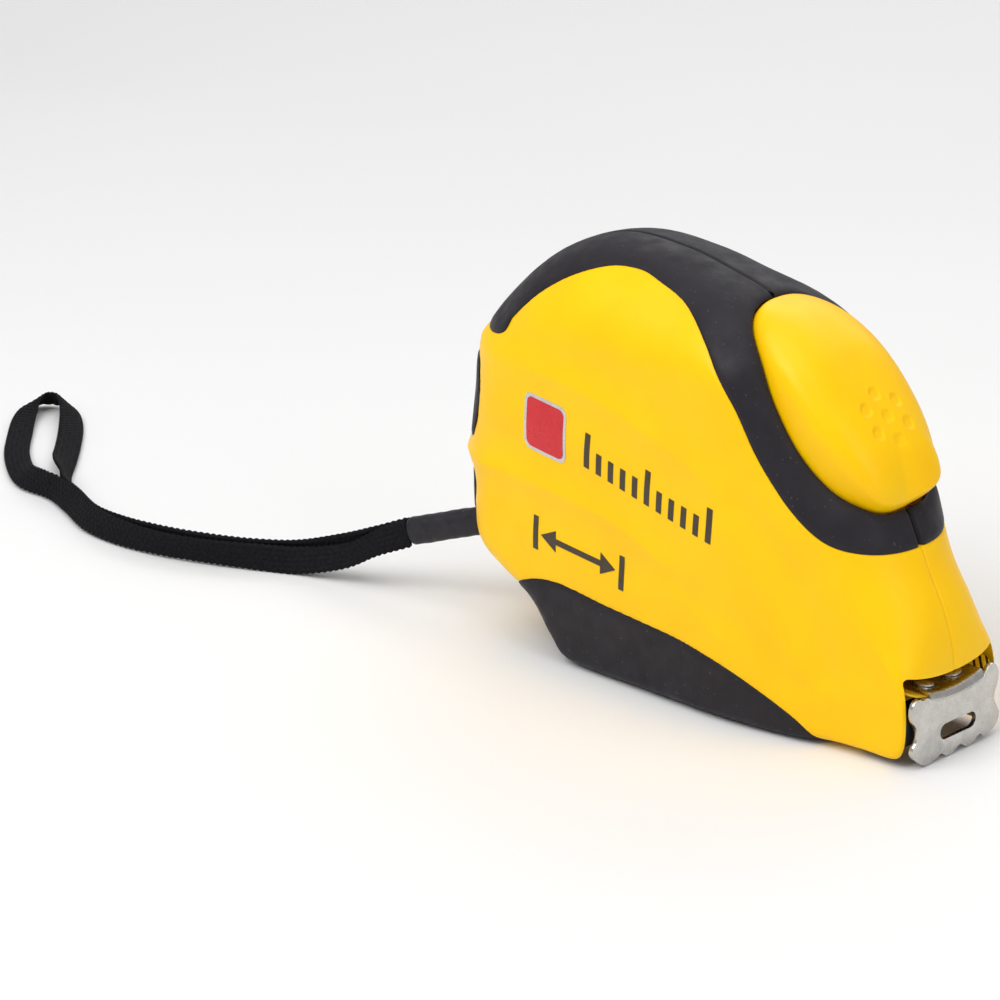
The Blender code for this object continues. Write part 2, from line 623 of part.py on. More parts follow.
def hook_outline():
    """Front view of the hook plate (y, z), round from the top left, teeth along the bottom."""
    dip = []
    for k in range(-4, 5):
        y = TONGUE_HALF * k / 4
        dip.append((y, BLADE_Z + 0.95 + BLADE_CUP * (y / BLADE_HALF) ** 2))
    right = [(9.4, 14.9), (11.0, 14.7), (12.1, 12.4), (10.9, 8.8), (11.2, 6.8), (12.6, 4.6), (12.2, 2.6),
             (11.0, 1.6)]
    teeth = [(8.4, 0.9), (6.8, 1.6), (5.0, 0.8), (3.1, 0.4), (1.2, 1.3), (-0.4, 0.9), (-1.7, 0.3),
             (-3.2, 0.4), (-4.8, 1.2), (-6.6, 0.6)]
    left = [(-8.6, 0.2), (-10.7, 1.1), (-12.7, 2.6), (-13.0, 4.8), (-11.9, 6.8), (-12.2, 8.6), (-13.3, 10.0),
            (-13.6, 13.0), (-12.4, 14.3), (-9.4, 14.2)]
    return left + dip + right + teeth


def make_hook(skins):
    outline = hook_outline()
    rings = [[(x, y, z) for y, z in outline] for x in (HOOK_X, HOOK_X + HOOK_THICK)]
    hook = stack("hook", rings, skins["steel"])
    tongue_rings = []
    for x in (TONGUE_BACK, 45.0, HOOK_X + 0.4):
        half = TONGUE_HALF - (1.5 if x == TONGUE_BACK else 0.0)
        across = [half * k / 4 for k in range(-4, 5)]
        low = [(x, y, blade_surface(x, y, -0.15)) for y in across]
        high = [(x, y, blade_surface(x, y, -0.85)) for y in reversed(across)]
        tongue_rings.append(low + high)
    boolean(hook, stack("hook_tongue", tongue_rings, None), "UNION")
    for side in (-1, 1):
        foot, out = rivet_axis(side)
        slot_rings = []
        for lift in (-0.5, 2.5):
            ring = []
            for k in range(16):
                angle = 2 * math.pi * k / 16
                shift = -HOOK_TRAVEL if math.cos(angle) < -1e-6 else 0.0
                spot = foot + out * lift + Vector((1.35 * math.cos(angle) + shift, 1.35 * math.sin(angle), 0))
                ring.append(tuple(spot))
            slot_rings.append(ring)
        cut(hook, stack("cut_hook_slot_%d" % (side + 1), slot_rings, None))
    window = []
    for x in (HOOK_X - 2, HOOK_X + 4):
        ring = []
        for k in range(16):
            angle = 2 * math.pi * (k + 0.5) / 16
            centre = SLOT_Y + math.copysign(SLOT_HALF - SLOT_R, math.cos(angle))
            ring.append((x, centre + SLOT_R * math.cos(angle), SLOT_Z + SLOT_R * math.sin(angle)))
        window.append(ring)
    cut(hook, stack("cut_hook_window", window, None))


def make_small_fixed(skins):
    half = MOUTH_HALF - FIT
    arch = [(-half, BUMPER_LOW), (-8.5, BUMPER_LOW), (-8.5, 6.5), (8.5, 6.5), (8.5, BUMPER_LOW),
            (half, BUMPER_LOW), (half, BUMPER_TOP), (-half, BUMPER_TOP)]
    bumper = stack("mouth_bumper", [[(x, y, z) for y, z in arch] for x in (45.5, 50.6)], skins["rubber"])
    edge = bumper.modifiers.new("rounded", "BEVEL")
    edge.width = 0.5 * MM
    edge.segments = 1
    rod("guide_pin", *pin_ends(GUIDE_X, GUIDE_Z, (-GUIDE_HALF, GUIDE_HALF)), GUIDE_R, skins["steel"], 12)
    rod("strap_anchor", *pin_ends(ANCHOR_X, ANCHOR_Z, ANCHOR_Y), ANCHOR_R, skins["steel"], 12)
    for number, (x, z) in enumerate(SCREW_SPOTS, 1):
        seat = screw_seat(x)
        shank = pin_ends(x, z, (SCREW_INNER_Y, seat + 1.0))
        screw = rod("case_screw_%d" % number, *shank, SCREW_R, skins["steel"], 12)
        head = rod("head_%d" % number, (x, seat + 0.05, z), (x, seat + 2.2, z), SCREW_HEAD_R, sides=20)
        boolean(screw, head, "UNION")
        for turn in (0, 1):
            reach = (1.9, 0.35) if turn else (0.35, 1.9)
            slot = box("cut_cross_%d_%d" % (number, turn), (x - reach[0], seat + 1.2, z - reach[1]),
                       (x + reach[0], seat + 5, z + reach[1]))
            cut(screw, slot)


def clip_rod(name, y_low, y_high, radius, skin=None, sides=16, end_radius=None):
    """A rod along Y on the axis of the belt clip's screw."""
    start, end = (CLIP_X, y_low, CLIP_SCREW_Z), (CLIP_X, y_high, CLIP_SCREW_Z)
    return rod(name, start, end, radius, skin, sides, end_radius)


def make_clip(skins):
    """Bent spring-steel strip: a flat base under its screw, then a tongue that hangs away from the case."""
    inner, outer = [], []
    for i, (y, z) in enumerate(CLIP_LINE):
        before = CLIP_LINE[max(i - 1, 0)]
        after = CLIP_LINE[min(i + 1, len(CLIP_LINE) - 1)]
        run = Vector((after[0] - before[0], after[1] - before[1])).normalized()
        side = Vector((-run.y, run.x)) * CLIP_THICK / 2
        inner.append((y - side.x, z - side.y))
        outer.append((y + side.x, z + side.y))
    outline = inner + outer[::-1]
    rings = [[(CLIP_X + x, y, z) for y, z in outline] for x in (-CLIP_HALF, CLIP_HALF)]
    clip = stack("belt_clip", rings, skins["clip"])
    base_y = CLIP_LINE[0][0]
    cut(clip, clip_rod("cut_clip_hole", base_y - 2, base_y + 2, SCREW_R + 0.2))
    screw = clip_rod("clip_screw", CLIP_SCREW_START, base_y + 1.5, SCREW_R, skins["steel"], 12)
    face = base_y + CLIP_THICK / 2 + 0.05
    boolean(screw, clip_rod("clip_screw_head", face, face + 1.8, 3.2, sides=20, end_radius=2.4), "UNION")


# ---------------------------------------------------------------- strap



def sleeve_ends():
    return Vector(SLEEVE_START), Vector(SLEEVE_END)


def sleeve_hole_ends():
    start, end = sleeve_ends()
    return start + (start - end).normalized() * 4, end


def smooth_route(points, spacing):
    """Catmull-Rom curve through an open route, read at about the given spacing."""
    route = np.array(points, float)
    ends = np.vstack((2 * route[0] - route[1], route, 2 * route[-1] - route[-2]))
    curve = []
    for i in range(1, len(ends) - 2):
        a, b, c, d = ends[i - 1:i + 3]
        for t in np.linspace(0, 1, 12, endpoint=False):
            curve.append(0.5 * (2 * b + (c - a) * t + (2 * a - 5 * b + 4 * c - d) * t * t
                                + (3 * b - a - 3 * c + d) * t ** 3))
    curve = np.vstack((curve, route[-1:]))
    length = np.concatenate(([0.0], np.cumsum(np.linalg.norm(np.diff(curve, axis=0), axis=1))))
    count = max(2, round(length[-1] / spacing) + 1)
    places = np.linspace(0, length[-1], count)
    return np.stack([np.interp(places, length, curve[:, k]) for k in range(3)], axis=1)


def make_cord(name, route, radius, skin):
    curve = bpy.data.curves.new(name, "CURVE")
    curve.dimensions = "3D"
    points = smooth_route(route, radius * 2 * 1.5)
    line = curve.splines.new("POLY")
    line.points.add(len(points) - 1)
    for spot, place in zip(line.points, points):
        spot.co = (*(float(c) * MM for c in place), 1.0)
    curve.bevel_depth = radius * MM
    curve.bevel_resolution = 2
    curve.use_fill_caps = True
    curve.materials.append(skin)
    made = bpy.data.objects.new(name, curve)
    bpy.context.scene.collection.objects.link(made)


def make_strap(skins):
    start, end = sleeve_ends()
    rod("strap_sleeve", start, end, SLEEVE_RADIUS, skins["sleeve"], 14)
    make_cord("strap_runs", STRAP_RUN, RUN_RADIUS, skins["webbing"])
    make_cord("strap_loop", STRAP_LOOP, LOOP_RADIUS, skins["webbing"])


def main():
    clear_scene()
    skins = make_materials()
    make_case(skins)
    make_grips(skins)
    make_pads(skins)
    make_button(skins)
    make_blade(skins)
    make_reel(skins)
    make_hook(skins)
    make_rivets(skins)
    make_small_fixed(skins)
    make_clip(skins)
    make_strap(skins)


main()
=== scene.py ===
"""Looks of the tape measure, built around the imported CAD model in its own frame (metres, +X hook, +Z up)."""
import math

import bmesh
import bpy
import numpy as np
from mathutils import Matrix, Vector, geometry
from mathutils.bvhtree import BVHTree


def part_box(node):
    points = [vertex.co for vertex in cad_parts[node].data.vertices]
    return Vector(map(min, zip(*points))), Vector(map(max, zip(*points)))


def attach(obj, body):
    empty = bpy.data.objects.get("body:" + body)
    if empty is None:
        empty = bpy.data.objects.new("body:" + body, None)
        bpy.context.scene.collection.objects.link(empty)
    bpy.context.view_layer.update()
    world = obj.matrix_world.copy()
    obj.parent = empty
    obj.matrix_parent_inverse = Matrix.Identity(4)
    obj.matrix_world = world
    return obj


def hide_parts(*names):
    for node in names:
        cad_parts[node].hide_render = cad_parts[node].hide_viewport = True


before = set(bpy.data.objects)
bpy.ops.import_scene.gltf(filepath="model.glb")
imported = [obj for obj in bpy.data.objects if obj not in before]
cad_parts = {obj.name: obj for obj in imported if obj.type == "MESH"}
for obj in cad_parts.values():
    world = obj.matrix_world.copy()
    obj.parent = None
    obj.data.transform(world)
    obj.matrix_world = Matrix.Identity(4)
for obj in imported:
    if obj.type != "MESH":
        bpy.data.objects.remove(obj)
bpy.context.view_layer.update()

MM = 0.001

# -------- camera and studio

AZIMUTH, ELEVATION, DISTANCE = 44.0, 20.58, 0.9
TARGET = Vector((-0.0663, 0.0, 0.0196))
LENS, SENSOR = 159.4, 36.0


def direction(azimuth, elevation):
    """Unit vector toward a point at this azimuth (0 is -Y turned toward +X) and elevation in degrees."""
    a, e = math.radians(azimuth), math.radians(elevation)
    return Vector((math.sin(a) * math.cos(e), -math.cos(a) * math.cos(e), math.sin(e)))


def aim(made, target):
    made.rotation_euler = (made.location - target).to_track_quat("Z", "Y").to_euler()


def add(made):
    bpy.context.scene.collection.objects.link(made)
    return made


def make_camera():
    data = bpy.data.cameras.new("camera")
    data.lens = LENS
    data.sensor_width = SENSOR
    data.clip_start = 0.05
    camera = add(bpy.data.objects.new("camera", data))
    camera.location = TARGET + direction(AZIMUTH, ELEVATION) * DISTANCE
    aim(camera, TARGET)
    bpy.context.scene.camera = camera


SKY_STRENGTH = 0.45
LIGHT_TARGET = Vector((-0.02, 0.0, 0.03))


def area_light(name, azimuth, elevation, distance, size, power):
    data = bpy.data.lights.new(name, "AREA")
    data.shape = "RECTANGLE"
    data.size, data.size_y = size
    data.energy = power
    light = add(bpy.data.objects.new(name, data))
    light.location = direction(azimuth, elevation) * distance
    aim(light, LIGHT_TARGET)


def make_studio():
    bpy.context.scene.view_settings.view_transform = "Standard"
    world = bpy.data.worlds.new("studio")
    bpy.context.scene.world = world
    world.use_nodes = True
    sky = world.node_tree.nodes["Background"]
    sky.inputs["Color"].default_value = (1.0, 1.0, 1.0, 1.0)
    sky.inputs["Strength"].default_value = SKY_STRENGTH
    area_light("key", -12, 50, 0.9, (0.6, 0.5), 3.8)
    area_light("fill", 84, 28, 0.9, (0.5, 0.6), 1.2)
    area_light("top", 30, 84, 0.8, (0.6, 0.6), 1.9)
    area_light("back", 205, 40, 1.0, (0.8, 0.5), 1.9)


make_camera()
make_studio()


# -------- node materials

def material(name, colour, roughness, metallic=0.0, second=None, patch=0.004, rough_spread=0.1,
             bump=(0.0003, 0.1), coarse=None, specks=None, specular=0.5):
    """Principled material: two colours mixed by cloudy noise, uneven roughness and one or two grains of bump.

    patch, bump[0] and coarse[0] are feature sizes in metres; bump[1] and coarse[1] are strengths.
    specks is (size, share, colour) of small marks scattered on the surface.
    """
    made = bpy.data.materials.new(name)
    made.use_nodes = True
    nodes, links = made.node_tree.nodes, made.node_tree.links
    shader = nodes["Principled BSDF"]
    shader.inputs["Metallic"].default_value = metallic
    shader.inputs["Specular IOR Level"].default_value = specular
    place = nodes.new("ShaderNodeTexCoord")

    def noise(size, detail=2.0):
        grain = nodes.new("ShaderNodeTexNoise")
        grain.inputs["Scale"].default_value = 1.0 / size
        grain.inputs["Detail"].default_value = detail
        links.new(place.outputs["Object"], grain.inputs["Vector"])
        return grain.outputs["Fac"]

    def ramp(value, low, high, first, last):
        steps = nodes.new("ShaderNodeMapRange")
        for label, number in zip(("From Min", "From Max", "To Min", "To Max"), (low, high, first, last)):
            steps.inputs[label].default_value = number
        links.new(value, steps.inputs["Value"])
        return steps.outputs["Result"]

    def blend(share, first, last):
        mix = nodes.new("ShaderNodeMix")
        mix.data_type = "RGBA"
        links.new(share, mix.inputs["Factor"])
        for socket, value in ((mix.inputs[6], first), (mix.inputs[7], last)):
            if hasattr(value, "links"):
                links.new(value, socket)
            else:
                socket.default_value = (*value, 1.0)
        return mix.outputs[2]

    second = second or tuple(c * 0.9 for c in colour)
    tone = blend(ramp(noise(patch), 0.35, 0.65, 0.0, 1.0), colour, second)
    if specks:
        size, share, speck_colour = specks
        mask = ramp(noise(size, 0.0), 1.0 - share, 1.0 - share + 0.03, 0.0, 1.0)
        tone = blend(mask, tone, speck_colour)
    links.new(tone, shader.inputs["Base Color"])
    smoothest, roughest = max(roughness - rough_spread, 0.02), roughness + rough_spread
    spread = ramp(noise(patch * 0.6, 3.0), 0.3, 0.7, smoothest, roughest)
    links.new(spread, shader.inputs["Roughness"])
    previous = None
    for grain in (bump, coarse):
        if not grain:
            continue
        size, strength = grain
        relief = nodes.new("ShaderNodeBump")
        relief.inputs["Strength"].default_value = strength
        relief.inputs["Distance"].default_value = size * 0.5
        links.new(noise(size, 3.0), relief.inputs["Height"])
        if previous:
            links.new(previous, relief.inputs["Normal"])
        previous = relief.outputs["Normal"]
    links.new(previous, shader.inputs["Normal"])
    return made


YELLOW = (1.0, 0.6, 0.0)
skins = {
    "case": material("case_plastic", YELLOW, 0.4, second=(1.0, 0.57, 0.0), patch=0.012, rough_spread=0.05,
                     bump=(0.00022, 0.05), coarse=(0.003, 0.012), specular=0.22),
    "button": material("button_plastic", (1.0, 0.59, 0.0), 0.36, second=(1.0, 0.555, 0.0), patch=0.01,
                       rough_spread=0.05, bump=(0.00022, 0.04), coarse=(0.003, 0.01), specular=0.22),
    "grip": material("grip_rubber", (0.014, 0.012, 0.016), 0.5, second=(0.018, 0.015, 0.02), patch=0.006,
                     rough_spread=0.1, bump=(0.00025, 0.16), coarse=(0.002, 0.05),
                     specks=(0.0006, 0.205, (0.045, 0.042, 0.046)), specular=0.24),
    "hook": material("hook_nickel", (0.6, 0.58, 0.55), 0.26, 1.0, second=(0.52, 0.505, 0.48), patch=0.003,
                     rough_spread=0.1, bump=(0.00018, 0.1), coarse=(0.0016, 0.03)),
    "steel": material("fastener_steel", (0.6, 0.59, 0.56), 0.3, 1.0, second=(0.5, 0.49, 0.47), patch=0.001,
                      bump=(0.0002, 0.12)),
    "clip": material("clip_steel", (0.56, 0.56, 0.56), 0.34, 1.0, second=(0.46, 0.46, 0.47), patch=0.003,
                     bump=(0.0002, 0.12), coarse=(0.002, 0.04)),
    "spring": material("spring_steel", (0.3, 0.31, 0.33), 0.32, 1.0, patch=0.002, bump=(0.0002, 0.1)),
    "coil": material("blade_lacquer", (0.85, 0.56, 0.04), 0.34, patch=0.003, bump=(0.0002, 0.08)),
    "reel": material("reel_plastic", (0.05, 0.05, 0.055), 0.45, patch=0.004, bump=(0.0003, 0.1)),
    "bumper": material("bumper_rubber", (0.012, 0.012, 0.013), 0.55, patch=0.002, bump=(0.0003, 0.2)),
    "sleeve": material("shrink_sleeve", (0.014, 0.013, 0.017), 0.46, second=(0.02, 0.018, 0.024), patch=0.002,
                       bump=(0.0003, 0.2), coarse=(0.0016, 0.2), specks=(0.0009, 0.2, (0.06, 0.06, 0.065)),
                       specular=0.28),
    "webbing": material("black_webbing", (0.003, 0.0027, 0.004), 0.7, second=(0.007, 0.006, 0.008),
                        patch=0.0006, rough_spread=0.12, bump=(0.00012, 0.6), specular=0.14),
    "badge_red": material("badge_red", (0.62, 0.004, 0.012), 0.3, second=(0.55, 0.003, 0.01), patch=0.004,
                          rough_spread=0.06, bump=(0.0003, 0.04)),
    "badge_silver": material("badge_silver", (0.62, 0.62, 0.62), 0.34, 0.6, patch=0.002, bump=(0.0003, 0.05)),
    "print": material("brown_print", (0.035, 0.02, 0.008), 0.42, second=(0.045, 0.026, 0.01), patch=0.002,
                      rough_spread=0.08, bump=(0.0003, 0.08)),
}


# -------- mesh helpers (points in millimetres)

def add_mesh(name, verts, faces, skin, sharp=32.0):
    mesh = bpy.data.meshes.new(name)
    mesh.from_pydata([tuple(c * MM for c in v) for v in verts], [], faces)
    shape = bmesh.new()
    shape.from_mesh(mesh)
    bmesh.ops.remove_doubles(shape, verts=shape.verts, dist=1e-7)
    bmesh.ops.recalc_face_normals(shape, faces=shape.faces)
    shape.to_mesh(mesh)
    shape.free()
    if skin:
        mesh.materials.append(skin)
    soften(mesh, sharp)
    return add(bpy.data.objects.new(name, mesh))


def soften(mesh, sharp=32.0):
    mesh.shade_smooth()
    mesh.set_sharp_from_angle(angle=math.radians(sharp))


def stack(name, rings, skin=None, sharp=32.0, caps=True):
    """Bridge equal rings of points into one closed body."""
    count = len(rings[0])
    verts = [p for ring in rings for p in ring]
    faces = []
    for level in range(len(rings) - 1):
        low, high = level * count, (level + 1) * count
        for i in range(count):
            j = (i + 1) % count
            faces.append((low + i, low + j, high + j, high + i))
    if caps:
        faces.append(tuple(range(count)))
        faces.append(tuple(range((len(rings) - 1) * count, len(rings) * count)))
    return add_mesh(name, verts, faces, skin, sharp)


def prism(name, outline, y_low, y_high, skin=None):
    """Extrude a side-view outline (x, z) across Y."""
    return stack(name, [[(x, y, z) for x, z in outline] for y in (y_low, y_high)], skin)


def rod(name, start, end, radius, skin=None, sides=32, profile=((0.0, 1.0), (1.0, 1.0))):
    """A turned solid between two points; the profile lists (share of the length, share of the radius)."""
    start, end = Vector(start), Vector(end)
    turn = (end - start).to_track_quat("Z", "Y").to_matrix()
    rings = []
    for share, width in profile:
        centre = start.lerp(end, share)
        ring = []
        for k in range(sides):
            angle = 2 * math.pi * k / sides
            ring.append(tuple(centre + turn @ Vector((math.cos(angle), math.sin(angle), 0)) * radius * width))
        rings.append(ring)
    return stack(name, rings, skin)


def settle(made):
    """Apply an object's modifiers."""
    graph = bpy.context.evaluated_depsgraph_get()
    mesh = bpy.data.meshes.new_from_object(made.evaluated_get(graph))
    made.modifiers.clear()
    made.data = mesh


def carve(target, tools, operation="DIFFERENCE", solver="MANIFOLD"):
    for tool in tools:
        step = target.modifiers.new("carve", "BOOLEAN")
        step.operation = operation
        step.solver = solver
        step.object = tool
        settle(target)
    soften(target.data)
    return target


def discard(*tools):
    for tool in tools:
        bpy.data.objects.remove(tool, do_unlink=True)


def round_edges(made, width, segments=3, angle=35.0):
    step = made.modifiers.new("rounded", "BEVEL")
    step.width = width * MM
    step.segments = segments
    step.limit_method = "ANGLE"
    step.angle_limit = math.radians(angle)
    settle(made)
    soften(made.data)
    return made


def catmull(points, steps, closed):
    """Catmull-Rom curve through rows of numbers."""
    points = np.array(points, float)
    total = len(points)
    if closed:
        ends = np.vstack((points[-1:], points, points[:2]))
    else:
        ends = np.vstack((2 * points[:1] - points[1:2], points, 2 * points[-1:] - points[-2:-1]))
    curve = []
    for i in range(1, total + 1 if closed else total):
        a, b, c, d = ends[i - 1:i + 3]
        for t in np.linspace(0, 1, steps, endpoint=False):
            curve.append(0.5 * (2 * b + (c - a) * t + (2 * a - 5 * b + 4 * c - d) * t * t
                                + (3 * b - a - 3 * c + d) * t ** 3))
    return np.array(curve if closed else curve + [points[-1]])


def even(curve, count, closed=False, across=3):
    """Read a curve at equal lengths, measured over its first columns."""
    if closed:
        curve = np.vstack((curve, curve[:1]))
    gaps = np.linalg.norm(np.diff(curve[:, :across], axis=0), axis=1)
    length = np.concatenate(([0.0], np.cumsum(gaps)))
    places = np.linspace(0.0, length[-1], count, endpoint=not closed)
    return np.stack([np.interp(places, length, column) for column in curve.T], axis=1)


def smoothstep(value, low, high):
    share = np.clip((value - low) / (high - low), 0.0, 1.0)
    return share * share * (3 - 2 * share)


# -------- wrist strap: one flat webbing, out and back

SLEEVE_START, SLEEVE_END = Vector((-59.6, -8.3, 19.7)), Vector((-78.0, -13.5, 13.5))
# Middle line of the doubled runs, from the sleeve to where they part.
STRAP_RUN = [
    (-78.3, -13.6, 13.4), (-85.0, -15.6, 10.6), (-92.7, -17.6, 7.2), (-103.0, -21.5, 3.9),
    (-112.0, -27.0, 3.2), (-122.0, -32.0, 3.1), (-132.0, -35.2, 3.1), (-142.0, -36.2, 3.1),
    (-152.0, -35.0, 3.1), (-162.0, -31.0, 3.1), (-170.0, -28.6, 3.1),
]
# The open loop at the far end: x, y, and how flat the webbing lies there (0 on edge, 90 flat).
STRAP_LOOP = [
    (-174.6, -29.5, 18), (-182.0, -28.4, 44), (-190.0, -23.6, 72), (-199.0, -16.8, 86), (-207.0, -9.2, 88),
    (-214.4, -1.6, 80), (-218.2, 3.8, 60), (-218.0, 8.0, 48), (-213.8, 9.2, 42), (-208.0, 6.6, 56),
    (-201.0, 0.8, 74), (-193.0, -7.0, 80), (-186.0, -14.0, 66), (-180.0, -19.6, 40), (-173.8, -24.2, 20),
]
WEB_HALF, WEB_THICK = 2.95, 0.6          # half width and half thickness of the webbing
RUN_APART = 1.32                         # each run's distance from their middle line
RUN_LEAN = 12.0
SLEEVE_TALL, SLEEVE_DEEP = 2.88, 2.35    # half height and half depth of the sleeve


def strap_route():
    """Rows of x, y, z and lean, from the sleeve, round the loop and back to the sleeve."""
    middle = np.array(STRAP_RUN)
    along = np.gradient(middle[:, :2], axis=0)
    along /= np.linalg.norm(along, axis=1)[:, None]
    side = np.stack([-along[:, 1], along[:, 0]], axis=1)
    out, back = [], []
    for i, (x, y, z) in enumerate(middle):
        apart = RUN_APART * (0.92 if i == 0 else 1.0)
        sag = 1.5 * math.exp(-((i - 2.2) / 1.1) ** 2)
        lean = RUN_LEAN + 22 * math.sin(i * 0.9)
        out.append((x + side[i][0] * apart, y + side[i][1] * apart, z - sag, lean))
        back.append((x - side[i][0] * apart, y - side[i][1] * apart, z + sag * 0.35, lean * 0.8))
    loop = []
    for x, y, lean in STRAP_LOOP:
        turn = math.radians(lean)
        loop.append((x, y, WEB_HALF * math.cos(turn) + WEB_THICK * math.sin(turn) + 0.15, lean))
    return catmull(out + loop + back[::-1], 24, False)


def make_webbing():
    route = strap_route()
    length = np.linalg.norm(np.diff(route[:, :3], axis=0), axis=1).sum()
    step = 0.27
    route = even(route, int(length / step) + 1)
    spine = route[:, :3]
    forward = np.gradient(spine, axis=0)
    forward /= np.linalg.norm(forward, axis=1)[:, None]
    up = np.array((0.0, 0.0, 1.0)) - forward * forward[:, 2:3]
    up /= np.linalg.norm(up, axis=1)[:, None]
    side = np.cross(forward, up)
    lean = np.radians(route[:, 3])[:, None]
    wide = up * np.cos(lean) + side * np.sin(lean)
    thick = np.cross(forward, wide)
    faces_across = 22
    ring = []
    for sign in (1, -1):
        for k in range(faces_across + 1):
            v = -1 + 2 * k / faces_across
            ring.append((sign * v, sign))
    places = np.arange(len(spine)) * step
    columns, pitch = 5, 1.4
    verts = []
    for v, sign in ring:
        column = np.clip(np.floor((v + 1) / 2 * columns), 0, columns - 1)
        across = abs(math.sin((v + 1) / 2 * columns * math.pi)) ** 0.6
        phase = places / pitch + 0.5 * (column % 2) + (0.25 if sign < 0 else 0.0)
        yarn = np.abs(np.sin(phase * math.pi)) ** 0.7 * across
        edge = max(0.0, 1 - abs(v) ** 14) ** 0.5
        scallop = 0.3 * np.abs(np.sin(places / pitch * math.pi)) * abs(v) ** 6
        height = WEB_THICK * (0.5 + 0.5 * yarn) * edge
        width = (WEB_HALF - 0.3 + scallop) * v
        verts.append(spine + wide * width[:, None] + thick * (sign * height)[:, None])
    rings = np.stack(verts, axis=1)
    made = stack("wrist_strap", [[tuple(p) for p in ring] for ring in rings], skins["webbing"], 60.0)
    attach(made, "case")
    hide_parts("strap_runs", "strap_loop")
    return made, spine, length


def make_sleeve():
    """Shrink tube over both runs, pinched flat by them, with softly rounded ends."""
    run = SLEEVE_END - SLEEVE_START
    forward = run.normalized()
    side = forward.cross(Vector((0, 0, 1))).normalized()
    up = side.cross(forward)
    rings = []
    shares = [0.0, 0.004, 0.012, 0.03, 0.06] + [k / 30 for k in range(3, 28)]
    shares += [0.95, 0.972, 0.986, 0.994, 0.998]
    for share in shares:
        lip = min(1.0, 0.78 + 0.22 * math.sqrt(min(1.0, share / 0.05)))
        lip *= min(1.0, 0.86 + 0.14 * math.sqrt(min(1.0, (1 - share) / 0.03)))
        wrinkle = 1 + 0.012 * math.sin(share * 41) + 0.01 * math.sin(share * 17 + 1)
        ring = []
        for k in range(40):
            angle = 2 * math.pi * k / 40
            tall = SLEEVE_TALL * abs(math.sin(angle)) ** 0.82 * math.copysign(1, math.sin(angle))
            deep = SLEEVE_DEEP * abs(math.cos(angle)) ** 0.82 * math.copysign(1, math.cos(angle))
            crease = 1 + 0.012 * math.sin(3 * angle + share * 9)
            away = (up * tall + side * deep) * lip * wrinkle * crease
            ring.append(tuple(SLEEVE_START + run * share + away))
        rings.append(ring)
    made = stack("shrink_sleeve", rings, skins["sleeve"], 40.0)
    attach(made, "case")
    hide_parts("strap_sleeve")
    return made


strap, strap_line, strap_length = make_webbing()
sleeve = make_sleeve()


# -------- case outline, as in the CAD

HALF_BODY, HALF_NOSE, TAPER_START, TAPER_END = 21.5, 14.8, 6.0, 50.0
ROUND_X, ROUND_Z, ROUND_R, FINGER_RIDGE = -23.5, 43.5, 41.5, 1.2
RIM_SHARE, DOME_REACH, DOME_PASSES = 0.965, 13.0, 30
UNFOLD_PASSES = 600
RUBBER_PROUD, RUBBER_DEPTH, FIT, SPLIT_GAP = 0.2, 1.9, 0.1, 0.03
REEL_X, REEL_Z, ROOM_R, ROOM_HALF = -22.0, 41.5, 31.5, 15.4
MOUTH_TOP, MOUTH_HALF, MOUTH_BACK = 17.4, 13.2, 40.0


def outline_controls():
    """Side outline as (x, z, edge rounding, edge fullness), going round from the base."""
    points = [
        (-29, -0.9, 6, 3.5), (-10, -0.9, 6, 4), (12, -0.9, 6, 4), (26, -0.7, 5, 4), (34, 0.3, 4, 4),
        (41, 0.4, 3.5, 4), (48.3, 0.5, 3, 4), (51.2, 3.4, 2.5, 4), (51.7, 10, 2.5, 4),
        (51.5, 17.5, 4, 3), (50.2, 23.5, 8, 2.6), (48, 29, 10, 2.4), (44.4, 35.5, 12, 2.3),
        (41.4, 42, 12, 2.3), (38, 48, 11, 2.4), (32.8, 52.2, 11, 2.5), (27, 58.5, 11, 2.5),
        (21, 66.5, 11, 2.5), (14.5, 74.3, 11, 2.4), (5.5, 79.6, 14, 2.2), (-5, 82.4, 18, 2.1),
    ]
    back = ((80, 0), (100, 0), (120, 0), (140, 0), (157, FINGER_RIDGE), (171, -0.3), (189, FINGER_RIDGE))
    for angle, extra in back:
        turn, radius = math.radians(angle), ROUND_R + extra
        points.append((ROUND_X + radius * math.cos(turn), ROUND_Z + radius * math.sin(turn), 20, 2.1))
    points += [
        (-64.2, 31, 18, 2.1), (-62.2, 24, 15, 2.2), (-58, 16.4, 11, 2.4), (-49.5, 12, 9, 2.6),
        (-41.5, 8.6, 8, 2.8), (-36, 3.2, 7, 3),
    ]
    return points


def half_thickness(x):
    return HALF_BODY + (HALF_NOSE - HALF_BODY) * smoothstep(x, TAPER_START, TAPER_END)


def distance_to(x, z, line):
    """Distance of every point (x, z) from a polyline."""
    best = np.full(len(x), 1e9)
    for (ax, az), (bx, bz) in zip(line[:-1], line[1:]):
        dx, dz = bx - ax, bz - az
        share = np.clip(((x - ax) * dx + (z - az) * dz) / max(dx * dx + dz * dz, 1e-9), 0, 1)
        best = np.minimum(best, np.hypot(x - ax - dx * share, z - az - dz * share))
    return best


def unfolded(rim, span):
    """Rim of the flat face, evened out where it would fold over itself."""
    for _ in range(UNFOLD_PASSES):
        step = np.roll(rim, -1, 0) - rim
        folded = np.sum(step * span, axis=1) < 0.2 * np.sum(span ** 2, axis=1)
        if not folded.any():
            break
        near = np.any([np.roll(folded, shift) for shift in range(-3, 4)], axis=0)
        level = (np.roll(rim, 1, 0) + 2 * rim + np.roll(rim, -1, 0)) / 4
        rim = np.where(near[:, None], level, rim)
    return rim


